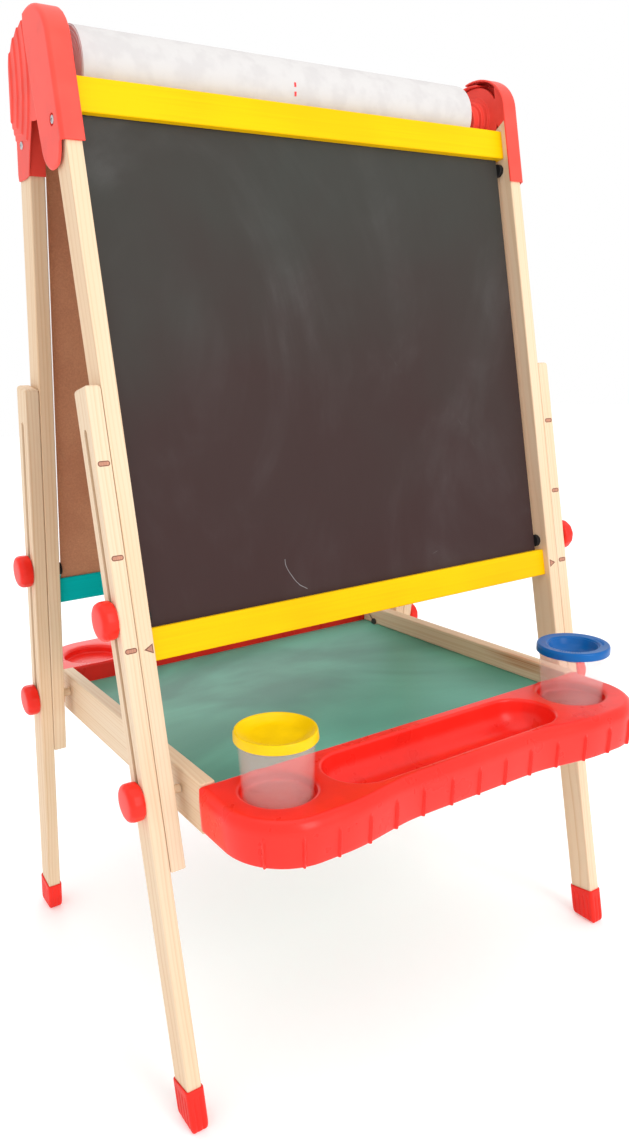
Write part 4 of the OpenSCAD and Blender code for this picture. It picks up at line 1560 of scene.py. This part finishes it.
@dataclass
class Knobs:
    """The round knobs that clamp the legs."""

    stock: Stock
    radius: float = 18.0
    thick: float = 15.0
    back_gap: float = 0.3
    lobes: int = 12
    lobe_h: float = 0.35

    def build(self) -> None:
        """Makes the eight knobs and finishes their bolts."""
        for corner in Corner:
            for level, s in zip(("upper", "lower"), PLAN.knob_s):
                node = f"knob_{corner.tag}_{level}"
                piece = Piece(f"{node}_grip", (self.stock["red_moulding"],), node, "red_plastic", (node,))
                place = PLAN.place(corner) @ Matrix.Translation(
                    (PLAN.leg_out + self.back_gap, PLAN.stick_d / 2, -s))
                self.shape().finish(piece, place)
                self.stock.dress(f"bolt_{corner.tag}_{level}", "zinc")

    def shape(self) -> Blank:
        """A thick disc with rounded rims, faint lobes, and a slightly sunk, domed face."""
        r, t = self.radius, self.thick
        back = [(0.0, 8.0), (3.2, 8.0), (3.2, 0.0), (9.0, 0.0), (10.0, 0.8), (12.5, 0.8), (13.5, 0.0)]
        rim = [(r - 2.4, 0.0), (r - 1.2, 0.35), (r - 0.5, 1.2), (r - 0.15, 2.6), (r, 5.0), (r, 8.6),
               (r - 0.25, 10.4), (r - 0.9, 12.0), (r - 1.9, 13.2), (r - 3.2, 14.0)]
        face = [(r - 4.6, t - 0.55), (r - 6.2, t - 0.3), (9.0, t - 0.12), (6.0, t - 0.04), (3.0, t), (0.0, t)]

        def lobed(turn: float, radius: float, _: float) -> float:
            """Only the rim carries lobes."""
            share = wave((radius - r + 5.0) / 4.0)
            return radius - self.lobe_h * share * (0.5 - 0.5 * math.cos(self.lobes * turn))

        return Blank.turned(back + rim + face, 120, "X", lobed)


@dataclass
class Hardware:
    """Screws with a cross recess, and the small metal parts that hardly show."""

    stock: Stock
    head_r: float = 3.6
    head_h: float = 1.4
    recess: tuple[float, float, float] = (0.85, 4.2, 0.9)
    pitch: float = 1.1
    tip: float = 3.0
    cap_shank: Flat = (2.0, 13.0)
    tray_shank: Flat = (1.8, 24.0)
    cap_head_x: Flat = (272.4, 270.8)

    def build(self) -> None:
        """Makes the screws and dresses the rest."""
        for end, head_x in zip(("front", "rear"), self.cap_head_x):
            self.cap_screws(end, head_x)
        self.tray_screws()
        self.stock.dress("hinge_pins", "zinc")
        piece = Piece("front_shelf_studs_dowel", (self.stock["pine"],), "front_frame", "pine",
                      ("front_shelf_studs",), Grain(0, 3))
        Blank.from_node("front_shelf_studs", UPRIGHT).ease(sharp_edges(0.4), 2).finish(piece, UPRIGHT)
        self.pivots()
        for node in ("front_thread_inserts", "rear_thread_inserts"):
            self.stock.dress(node, "brass")

    def pivots(self) -> None:
        """The bolts that the shelf swings on, with a pale spacer beside each post."""
        blank = Blank.from_node("shelf_pivot_bolts", UPRIGHT)
        for face in blank.bm.faces:
            face.material_index = 1 if abs(face.calc_center_median().x) > 242.8 else 0
        materials = (self.stock["dark_zinc"], self.stock["pine"])
        piece = Piece("shelf_pivot_bolts_set", materials, "rear_frame", "dark_steel",
                      ("shelf_pivot_bolts",), Grain(0, 4))
        blank.ease(sharp_edges(0.4), 2).finish(piece, UPRIGHT)

    def screw(self, shank_r: float, length: float) -> Blank:
        """A pan head screw along x, with the underside of its head at 0.

        Args:
            shank_r: The radius of the shank over its rings.
            length: How far the shank reaches from the head.

        Returns:
            The screw.
        """
        r, h = self.head_r, self.head_h
        thread = []
        for i in range(int((length - self.tip) / self.pitch)):
            x = -length + self.tip + i * self.pitch
            thread += [(shank_r * 0.78, x), (shank_r, x + self.pitch * 0.5)]
        profile = [(0.0, -length), (shank_r * 0.3, -length + 0.6), *thread, (shank_r, -0.4), (shank_r, 0.0),
                   (r - 0.1, 0.0), (r, 0.25), (r - 0.15, h * 0.55), (r * 0.72, h * 0.86), (r * 0.35, h),
                   (0.0, h)]
        blank = Blank.turned(profile, 40, "X")
        wide, long, deep = self.recess
        for y, z in ((wide, long), (long, wide)):
            blank.cut(Blank.box((h - deep, -y / 2, -z / 2), (h + 1, y / 2, z / 2)))
        return blank

    def cap_screws(self, end: str, head_x: float) -> None:
        """The screw through each cap into its post."""
        right = Corner.FRONT_RIGHT if end == "front" else Corner.REAR_RIGHT
        node = f"{end}_cap_screws"
        at = Matrix.Translation((head_x, PLAN.stick_d / 2, -PLAN.cap_screw_s))
        pair = [self.screw(*self.cap_shank) for _ in range(2)]
        for blank, turn in zip(pair, (at, Matrix.Diagonal((-1, 1, 1, 1)) @ at)):
            bmesh.ops.transform(blank.bm, matrix=turn, verts=blank.bm.verts)
        bmesh.ops.reverse_faces(pair[1].bm, faces=pair[1].bm.faces)
        piece = Piece(f"{node}_pan_head", (self.stock["zinc"],), right.frame_body, "zinc_steel", (node,))
        pair[0].with_loose(pair[1]).finish(piece, PLAN.place(right))

    def tray_screws(self) -> None:
        """Two screws from each end of each tray into the shelf rails."""
        low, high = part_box("tray_screws")
        screws = []
        centre = (low + high) / 2
        size = (high - low) / 2 / MM
        reach = Vector((size.x - self.head_r, size.y - self.head_h - 0.2, size.z - self.head_r))
        for signs in product((-1, 1), repeat=3):
            blank = self.screw(*self.tray_shank)
            turn = Matrix.Rotation(math.radians(90 * signs[1]), 4, "Z")
            at = Matrix.Translation(reach * Vector(signs))
            bmesh.ops.transform(blank.bm, matrix=at @ turn, verts=blank.bm.verts)
            screws.append(blank)
        piece = Piece("tray_screws_pan_head", (self.stock["zinc"],), "shelf", "zinc_steel", ("tray_screws",))
        place = Matrix.Translation(centre) @ Matrix.Scale(MM, 4)
        screws[0].with_loose(*screws[1:]).finish(piece, place)


# Trays


@dataclass(frozen=True)
class RimPoint:
    """A point on the outline of a tray."""

    at: Flat
    out: Flat
    rib: float
    back: float


@dataclass
class Tray:
    """A moulded tray: soft brows, fine upright ribs, one long trough and two wells."""

    stock: Stock
    height: float = 42.0
    half: float = 247.0
    depth: float = 106.0
    front_corner: float = 62.0
    back_corner: float = 6.0
    dip: float = 11.0
    wall: float = 3.0
    brow: Flat = (9.0, 12.5)
    back_brow: float = 2.6
    rib_pitch: float = 34.0
    rib_first: float = -238.0
    rib_count: int = 15
    rib_half: float = 1.5
    rib_h: float = 2.4
    trough: tuple[float, float, float, float] = (138.0, 34.5, -47.0, 30.0)
    well: tuple[float, float, float, float] = (188.0, -41.0, 34.0, 10.0)
    trough_bowl: float = 22.0
    well_fillet: float = 5.5
    pad_x: float = 235.1

    def build(self) -> None:
        """Makes both trays from the same moulding."""
        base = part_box("front_tray")[0].z / MM
        edges = {"front": -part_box("front_tray")[1].y / MM + PLAN.hinge_y,
                 "rear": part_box("rear_tray")[0].y / MM - PLAN.hinge_y}
        for end, inner in edges.items():
            turn = Matrix.Diagonal((1.0, -1.0 if end == "rear" else 1.0, 1.0, 1.0))
            place = UPRIGHT @ turn @ Matrix.Translation((0.0, -inner, base))
            node = f"{end}_tray"
            piece = Piece(f"{node}_moulding", (self.stock["tray_moulding"],), "shelf", "tray_plastic",
                          (node,), crease=55.0)
            self.shape().finish(piece, place)

    def waist(self, x: float) -> float:
        """How far the outer wall is drawn in between the lobes."""
        return self.dip * (1 - wave((abs(x) - 70.0) / 90.0))

    def path(self) -> list[Flat]:
        """The outline, anticlockwise, with the inner wall on y = 0."""
        side_x, back_x = self.half - self.front_corner, self.half - self.back_corner
        front_y = self.front_corner - self.depth
        back_r, front_r = (self.back_corner,) * 2, (self.front_corner,) * 2
        front = [(x, self.waist(x) - self.depth) for x in
                 (side_x * (i / 80 - 1) for i in range(1, 160))]
        return [*arc((-back_x, -self.back_corner), back_r, 90, 180, 5),
                *arc((-side_x, front_y), front_r, 180, 270, 2.5), *front,
                *arc((side_x, front_y), front_r, 270, 360, 2.5),
                *arc((back_x, -self.back_corner), back_r, 0, 90, 5)]

    def rim(self) -> list[RimPoint]:
        """Points round the outline, closer together where a rib stands."""
        path = self.path()
        lengths = [0.0]
        for a, b in zip(path, path[1:] + path[:1]):
            lengths.append(lengths[-1] + math.dist(a, b))
        total = lengths[-1]

        def at(distance: float) -> Flat:
            """The point this far along the outline."""
            d = distance % total
            i = next(k for k in range(len(path)) if lengths[k + 1] >= d)
            a, b = path[i], path[(i + 1) % len(path)]
            t = (d - lengths[i]) / max(1e-9, lengths[i + 1] - lengths[i])
            return a[0] + (b[0] - a[0]) * t, a[1] + (b[1] - a[1]) * t

        middle = self.front_middle(path, lengths)
        ribs = [middle + self.rib_first + i * self.rib_pitch for i in range(self.rib_count)]
        stops = sorted([r + o * self.rib_half for r in ribs for o in
                        (-1.5, -1.1, -0.85, -0.6, -0.35, 0.0, 0.35, 0.6, 0.85, 1.1, 1.5)]
                       + [d for d in (i * 4.0 for i in range(int(total / 4)))
                          if min(abs(d - r) for r in ribs) > self.rib_half * 2])
        made = []
        for d in stops:
            before, after = at(d - 0.6), at(d + 0.6)
            span = math.dist(before, after)
            out = ((after[1] - before[1]) / span, (before[0] - after[0]) / span)
            near = min(abs(d - r) for r in ribs) / self.rib_half
            rib = math.cos(math.pi / 2 * near) if near < 1 else 0.0
            made.append(RimPoint(at(d), out, rib, wave((out[1] - 0.15) / 0.7)))
        return made

    def front_middle(self, path: Sequence[Flat], lengths: Sequence[float]) -> float:
        """How far along the outline the middle of the front is."""
        nearest = min(range(len(path)), key=lambda i: abs(path[i][0]) + (1e6 if path[i][1] > -60 else 0))
        return lengths[nearest]

    def outer_rings(self, rim: Sequence[RimPoint]) -> list[list[Vector]]:
        """Rings of the outer surface, from the lower edge over the brow to the flat top."""
        rings = []
        shares = ((0.0, 1.5), (0.012, 0.6), (0.045, 0.0), (0.2, 0.0), (0.4, 0.0), (0.6, 0.0), (0.76, 0.0),
                  (0.83, 0.0), (0.88, 0.0), (0.93, 0.0), (0.97, 0.0), (1.0, 0.0))
        for share, lip in shares:
            ring = []
            for p in rim:
                brow_h = self.brow[1] + (self.back_brow - self.brow[1]) * p.back
                z = share * (self.height - brow_h)
                draft = 1.8 * (1 - share) ** 2 * (1 - p.back)
                fade = 1 - wave((share - 0.84) / 0.15)
                push = p.rib * self.rib_h * fade - draft - lip
                ring.append(Vector((p.at[0] + p.out[0] * push, p.at[1] + p.out[1] * push, z)))
            rings.append(ring)
        for turn in range(10, 91, 10):
            rings.append(self.brow_ring(rim, math.radians(turn), 0.0))
        return rings

    def brow_ring(self, rim: Sequence[RimPoint], turn: float, wall: float) -> list[Vector]:
        """One ring of the brow, on the outer surface or, with a wall, on the inner one."""
        ring = []
        for p in rim:
            back = self.back_brow if wall == 0.0 else 0.2
            wide = self.brow[0] + (back - self.brow[0]) * p.back
            tall = self.brow[1] + (back - self.brow[1]) * p.back
            inset = wall + wide * (1 - math.cos(turn))
            z = self.height - wall - tall * (1 - math.sin(turn))
            ring.append(Vector((p.at[0] - p.out[0] * inset, p.at[1] - p.out[1] * inset, z)))
        return ring

    def trough_rings(self, wall: float) -> list[list[Vector]]:
        """Rings from the rim of the trough down to its floor; a wall gives the underside."""
        half, radius, centre, deep = self.trough
        top = self.height - wall
        lip = 3.2 if wall == 0.0 else 0.0
        rows = [(wall + lip * (1 - math.sin(t)), top - lip * (1 - math.cos(t)))
                for t in (math.radians(a) for a in range(0, 91, 15))] if lip else [(wall, top)]
        bowl = self.trough_bowl
        rows += [(wall - 0.6, top - deep + bowl + 1.0)]
        rows += [(wall - 0.8 - bowl * (1 - math.cos(t)), top - deep + bowl * (1 - math.sin(t)))
                 for t in (math.radians(a) for a in range(9, 91, 9))]
        return [[Vector((x, y, z)) for x, y in stadium(half, radius, centre, grow, 5)] for grow, z in rows]

    def well_rings(self, side: int, wall: float) -> list[list[Vector]]:
        """Rings from the rim of a cup well down to its floor; a wall gives the underside."""
        x, y, radius, deep = self.well
        top = self.height - wall
        if wall == 0.0:
            soft = self.well_fillet
            rows = [(radius + soft * (1 - math.sin(t)), top - soft * 0.7 * (1 - math.cos(t)))
                    for t in (math.radians(a) for a in range(0, 91, 15))]
            rows = [(radius + soft + 0.9, top), (radius + soft + 0.4, top - 0.25), *rows[1:],
                    (radius - 0.3, top - deep + 1.6), (radius - 0.8, top - deep + 0.6),
                    (radius - 2.0, top - deep), (radius - 4.6, top - deep),
                    (radius - 5.0, top - deep - 0.3), (radius - 12.0, top - deep - 0.3)]
        else:
            rows = [(radius + 2.2, top), (radius + 2.2, top - deep)]
        limit = -(self.wall + 0.35) if wall else 0.0
        return [[Vector((px, min(py, limit) if wall else py, z)) for px, py in
                 arc((side * x, y), (r, r), 0, 356, 4)] for r, z in rows]

    def shape(self) -> Blank:
        """Builds the closed moulding: outer skin, inner skin, trough and wells."""
        bm = bmesh.new()
        rim = self.rim()
        outer = self.outer_rings(rim)
        inner = [[Vector((p.at[0] - p.out[0] * (self.wall + 1.0 * (1 - p.back)),
                          p.at[1] - p.out[1] * (self.wall + 1.0 * (1 - p.back)), z)) for p in rim]
                 for z in (0.0, 4.0)]
        inner += [self.brow_ring(rim, math.radians(a), self.wall) for a in range(0, 91, 18)]
        top_edge = self.skin(bm, outer)
        ceiling_edge = self.skin(bm, inner)
        self.bridge(bm, top_edge[0], ceiling_edge[0])
        for ring, wall in ((top_edge[1], 0.0), (ceiling_edge[1], self.wall)):
            holes = []
            for rings in (self.trough_rings(wall), self.well_rings(-1, wall), self.well_rings(1, wall)):
                first, last = self.skin(bm, rings)
                bm.faces.new(last)
                holes.append(first)
            self.pierced_face(bm, ring, holes)
        bmesh.ops.recalc_face_normals(bm, faces=bm.faces)
        return Blank(bm).with_loose(*self.pads())

    def pads(self) -> list[Blank]:
        """The blocks that the tray screws pass through."""
        made = []
        for side in (-1, 1):
            x = side * self.pad_x
            block = Blank.box((x - 8, -6.0, 0.6), (x + 8, -self.wall + 0.6, self.height - 6))
            made.append(block.ease(sharp_edges(0.6), 2))
        return made

    def skin(self, bm: bmesh.types.BMesh, rings: Sequence[Sequence[Vector]]) -> tuple[list, list]:
        """Joins rings by faces and gives the vertices of the first and the last."""
        rows = [[bm.verts.new(p) for p in ring] for ring in rings]
        for low, high in zip(rows, rows[1:]):
            self.bridge(bm, low, high)
        return rows[0], rows[-1]

    def bridge(self, bm: bmesh.types.BMesh, low: Sequence, high: Sequence) -> None:
        """Joins two rings of equally many vertices."""
        for i in range(len(low)):
            j = (i + 1) % len(low)
            bm.faces.new((low[i], low[j], high[j], high[i]))

    def pierced_face(self, bm: bmesh.types.BMesh, edge: Sequence, holes: Sequence[Sequence]) -> None:
        """Fills a flat ring that has holes in it."""
        loops = [list(edge), *[list(h) for h in holes]]
        flat = [v for loop in loops for v in loop]
        for corners in tessellate_polygon([[Vector((v.co.x, v.co.y, 0.0)) for v in loop] for loop in loops]):
            bm.faces.new([flat[i] for i in corners])


# Cups and paper


@dataclass
class Cups:
    """Two frosted cups, a yellow dished lid and a blue funnel lid."""

    stock: Stock
    height: float = 63.0
    base_r: float = 31.0
    rim_r: float = 35.4
    wall: float = 1.5
    lid_r: float = 37.2
    segments: int = 120

    def build(self) -> None:
        """Makes the cups and lids."""
        for side, lid in (("left", "yellow"), ("right", "blue")):
            low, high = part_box(f"cup_{side}")
            middle = (low + high) / 2
            place = Matrix.Translation((middle.x, middle.y, low.z)) @ Matrix.Scale(MM, 4)
            piece = Piece(f"cup_{side}_beaker", (self.stock["frosted_moulding"],), f"cup_{side}",
                          "cup_plastic", (f"cup_{side}",), crease=50.0)
            self.beaker().finish(piece, place)
            piece = Piece(f"lid_{side}_{lid}", (self.stock[f"{lid}_moulding"],), f"lid_{side}",
                          f"{lid}_plastic", (f"lid_{side}",), crease=50.0)
            (self.dished_lid() if lid == "yellow" else self.funnel_lid()).finish(piece, place)

    def beaker(self) -> Blank:
        """The cup: a foot ring, a tapered wall, fine ridges under the lid and a mark in its base."""
        b, r, h, w = self.base_r, self.rim_r, self.height, self.wall
        slope = (r - 1.0 - b) / (h - 3.0)

        def side(z: float, out: float = 0.0) -> Flat:
            """A point on the outer wall."""
            return b + slope * z + out, z

        outer = [(0.0, 0.9), (b - 4.0, 0.9), (b - 3.4, 0.2), (b - 2.8, 0.0), (b - 1.6, 0.0),
                 (b - 0.5, 0.4), side(1.6), side(14.0), side(30.0), side(46.0), side(53.4),
                 side(53.9, 0.45), side(54.6, 0.45), side(55.1), side(58.0), (r - 0.3, h - 2.6),
                 (r, h - 1.8), (r, h - 0.5), (r - 0.5, h)]
        inner = [(r - w - 0.8, h), (r - w - 1.0, h - 0.6), (b + slope * 50 - w, 50.0),
                 (b + slope * 25 - w, 25.0), (b - w, 4.2), (b - w - 0.8, 2.7), (b - w - 2.4, 2.0),
                 (10.4, 2.0), (10.0, 2.5), (8.8, 2.5), (8.4, 2.0), (0.0, 2.0)]
        return Blank.turned(outer + inner, self.segments)

    def lid_shell(self, middle: Sequence[Flat], under: Sequence[Flat]) -> list[Flat]:
        """The profile of a lid: the underside, the skirt with its rim, and the top."""
        r, h = self.lid_r, self.height
        skirt = [(self.rim_r + 0.3, h + 0.3), (self.rim_r + 0.3, h - 5.4), (self.rim_r + 0.6, h - 6.0),
                 (r - 0.4, h - 6.0), (r, h - 5.5), (r, h - 1.2), (r - 0.1, h + 0.6), (r - 0.5, h + 1.7),
                 (r - 1.3, h + 2.5), (r - 2.1, h + 2.6)]
        return [*under, *skirt, *middle]

    def dished_lid(self) -> Blank:
        """The yellow lid: a thin rim round a wide shallow dish, with four pull nubs."""
        h = self.height
        under = [(0.0, h - 4.0), (22.0, h - 4.0), (25.0, h - 3.6), (31.0, h - 0.6), (32.5, h + 0.3)]
        dish = [(34.3, h + 2.5), (33.4, h + 2.1), (32.4, h + 1.2), (30.5, h + 0.4), (27.5, h - 1.0),
                (24.5, h - 2.2), (21.0, h - 2.6), (0.0, h - 2.7)]

        def nubs(turn: float, radius: float, z: float) -> float:
            """Small bumps on the outside of the rim."""
            if radius < 36.0 or z < h - 1.5:
                return radius
            near = min(abs((turn - a + math.pi) % math.tau - math.pi) for a in (1.35, 1.95, 2.35, 2.6))
            return radius - 0.5 + 0.5 * (1 - wave(near / 0.045))

        return Blank.turned(self.lid_shell(dish, under), 240, "Z", nubs)

    def funnel_lid(self) -> Blank:
        """The blue lid: a flat ring round a deep funnel that hangs into the cup."""
        h = self.height
        under = [(0.0, h - 15.2), (12.0, h - 15.2), (13.2, h - 14.0), (13.4, h - 11.0), (15.0, h - 10.4),
                 (18.0, h - 9.6), (22.0, h - 5.0), (25.0, h + 0.3)]
        funnel = [(33.0, h + 2.2), (28.6, h + 1.9), (27.4, h + 1.8), (26.4, h + 1.2), (25.6, h - 0.2),
                  (22.8, h - 4.4), (19.0, h - 7.6), (15.4, h - 9.0), (12.4, h - 9.8), (11.6, h - 10.8),
                  (11.2, h - 13.2), (10.0, h - 13.8), (0.0, h - 13.8)]
        lid = Blank.turned(self.lid_shell(funnel, under), self.segments)
        ticks = []
        for centre in (-2.55, -0.45):
            for i in range(-4, 5):
                turn = Matrix.Rotation(centre + i * 0.085, 4, "Z")
                tick = Blank.box((29.2, -0.35, h + 1.6), (33.0 - 0.5 * abs(i), 0.35, h + 2.42))
                tick.ease(sharp_edges(0.15), 2)
                bmesh.ops.transform(tick.bm, matrix=turn, verts=tick.bm.verts)
                ticks.append(tick)
        return lid.with_loose(*ticks)


@dataclass
class PaperRoll:
    """A roll of drawing paper on a board core, with two plain cutting marks."""

    stock: Stock
    radius: float = 37.5
    half: float = 228.5
    shift: float = -9.0
    core_r: float = 11.5
    end_steps: int = 34
    mark_x: float = -17.5
    mark_w: float = 2.2
    mark_turns: tuple[Flat, ...] = ((-9.1, -3.0), (3.6, 9.8))

    def build(self) -> None:
        """Makes the paper, its core and its marks."""
        place = UPRIGHT @ Matrix.Translation((self.shift, 0.0, PLAN.hinge_z))
        piece = Piece("paper_roll_wraps", (self.stock["drawing_paper"],), "paper_roll", "paper",
                      ("paper_roll",), crease=28.0)
        self.wraps().finish(piece, place)
        piece = Piece("roll_core_tube", (self.stock["core_board"],), "paper_roll", "core_card",
                      ("roll_core",))
        self.tube().finish(piece, place)
        piece = Piece("paper_roll_marks", (self.stock["red_ink"],), "paper_roll", "red_plastic")
        self.marks().finish(piece, place)

    def wraps(self) -> Blank:
        """The paper: its ends step in and out a little from wrap to wrap."""

        def end(side: int) -> list[Flat]:
            """Radius and place of the steps on one end."""
            steps = []
            for i in range(self.end_steps + 1):
                r = self.core_r + 0.2 + (self.radius - 0.5 - self.core_r) * i / self.end_steps
                off = 0.28 * math.sin(i * 2.4) + 0.22 * math.sin(i * 5.1 + 1) - 0.5
                steps += [(r, side * (self.half + off)), (r + 0.30, side * (self.half + off))]
            return steps

        left = end(-1)
        outside = [(self.radius, -self.half + 0.8), (self.radius, -self.half * 0.6),
                   (self.radius - 0.12, 0.0), (self.radius, self.half * 0.6), (self.radius, self.half - 0.8)]
        profile = [*left, *outside, *end(1)[::-1], left[0]]

        def loose(turn: float, radius: float, _: float) -> float:
            """The outermost wrap ends in a thin step behind."""
            if radius < self.radius - 0.6:
                return radius
            return radius - 0.26 * ((turn / math.tau + 0.28) % 1.0)

        return Blank.turned(profile, 144, "X", loose)

    def tube(self) -> Blank:
        """The core, a tube with eased rims."""
        inner, outer, half = 9.8, self.core_r, self.half + 1.0
        profile = [(inner, -half + 0.3), (inner + 0.3, -half), (outer - 0.3, -half), (outer, -half + 0.3),
                   (outer, half - 0.3), (outer - 0.3, half), (inner + 0.3, half), (inner, half - 0.3),
                   (inner, -half + 0.3)]
        return Blank.turned(profile, 72, "X")

    def marks(self) -> Blank:
        """Two short upright dashes on the paper, one above the other."""
        films = []
        for low, high in self.mark_turns:
            rings = []
            turns = [math.radians(low + (high - low) * i / 6) for i in range(7)]
            x, half = self.mark_x - self.shift, self.mark_w / 2
            for r in (self.radius - 0.2, self.radius + 0.05):
                front = [(x - half, -r * math.cos(t), r * math.sin(t)) for t in turns]
                rings.append(front + [(x + half, y, z) for _, y, z in reversed(front)])
            films.append(Blank.loft(rings))
        return films[0].with_loose(*films[1:])


# Studio


@dataclass
class Studio:
    """The plain pale floor, the soft light and the camera."""

    eye: tuple[float, float, float] = (-0.5487, -0.8125, 0.6861)
    right: tuple[float, float, float] = (0.8577, -0.5126, -0.0403)
    up: tuple[float, float, float] = (0.1576, 0.1875, 0.9696)
    sensor: float = 36.0
    lens: float = 27.398
    shift: Flat = (0.05561, 0.00877)
    floor_reach: float = 9.0
    lamps: tuple[tuple[str, tuple[float, float, float], Flat, float], ...] = (
        ("window", (0.35, -2.9, 1.75), (1.2, 2.2), 34.0),
        ("ceiling", (-0.2, -0.3, 3.2), (2.6, 2.6), 12.0),
        ("back_fill", (0.8, 2.9, 1.7), (2.2, 2.0), 12.0),
    )

    def build(self) -> None:
        """Sets the stage."""
        self.floor()
        self.light()
        self.camera()

    def floor(self) -> None:
        """A large pale floor."""
        mesh = bpy.data.meshes.new("floor")
        reach = self.floor_reach
        corners = [(x * reach, y * reach, 0.0) for x, y in ((-1, -1), (1, -1), (1, 1), (-1, 1))]
        mesh.from_pydata(corners, [], [(0, 1, 2, 3)])
        mesh.materials.append(FloorFinish("pale_floor").build())
        floor = bpy.data.objects.new("floor", mesh)
        bpy.context.scene.collection.objects.link(floor)

    def light(self) -> None:
        """A tall window in front, a soft ceiling and one fill from behind."""
        world = bpy.data.worlds.new("room")
        bpy.context.scene.world = world
        world.use_nodes = True
        world.node_tree.nodes.clear()
        wiring = Wiring(world.node_tree)
        air = wiring.add("Background", {"Color": (1.0, 1.0, 1.0, 1.0), "Strength": 1.0})
        output = wiring.add("OutputWorld")
        world.node_tree.links.new(air.outputs[0], output.inputs[0])
        aim = Vector((0.0, -0.05, 0.5))
        for name, place, size, power in self.lamps:
            lamp = bpy.data.lights.new(name, "AREA")
            lamp.shape, lamp.size, lamp.size_y, lamp.energy = "RECTANGLE", size[0], size[1], power
            made = bpy.data.objects.new(name, lamp)
            made.location = place
            made.rotation_mode = "QUATERNION"
            made.rotation_quaternion = (aim - Vector(place)).to_track_quat("-Z", "Y")
            bpy.context.scene.collection.objects.link(made)

    def camera(self) -> None:
        """A camera at child height, a little to the left."""
        lens = bpy.data.cameras.new("eye")
        lens.sensor_width, lens.lens = self.sensor, self.lens
        lens.shift_x, lens.shift_y = self.shift
        lens.clip_start, lens.clip_end = 0.02, 60.0
        right, up = Vector(self.right).normalized(), Vector(self.up).normalized()
        back = right.cross(up).normalized()
        up = back.cross(right)
        turn = Matrix((right, up, back)).transposed().to_4x4()
        made = bpy.data.objects.new("eye", lens)
        made.matrix_world = Matrix.Translation(self.eye) @ turn
        bpy.context.scene.collection.objects.link(made)
        bpy.context.scene.camera = made
        bpy.context.scene.view_settings.view_transform = "Standard"


def main() -> None:
    """Builds the easel, part by part."""
    logging.basicConfig(level=logging.INFO, format="%(name)s: %(message)s")
    build_effects()
    stock = Stock()
    Studio().build()
    for part in (Timber(stock), Boards(stock), Caps(stock), Feet(stock), Knobs(stock), Hardware(stock),
                 Tray(stock), Cups(stock), PaperRoll(stock)):
        part.build()


if __name__ == "__main__":
    main()
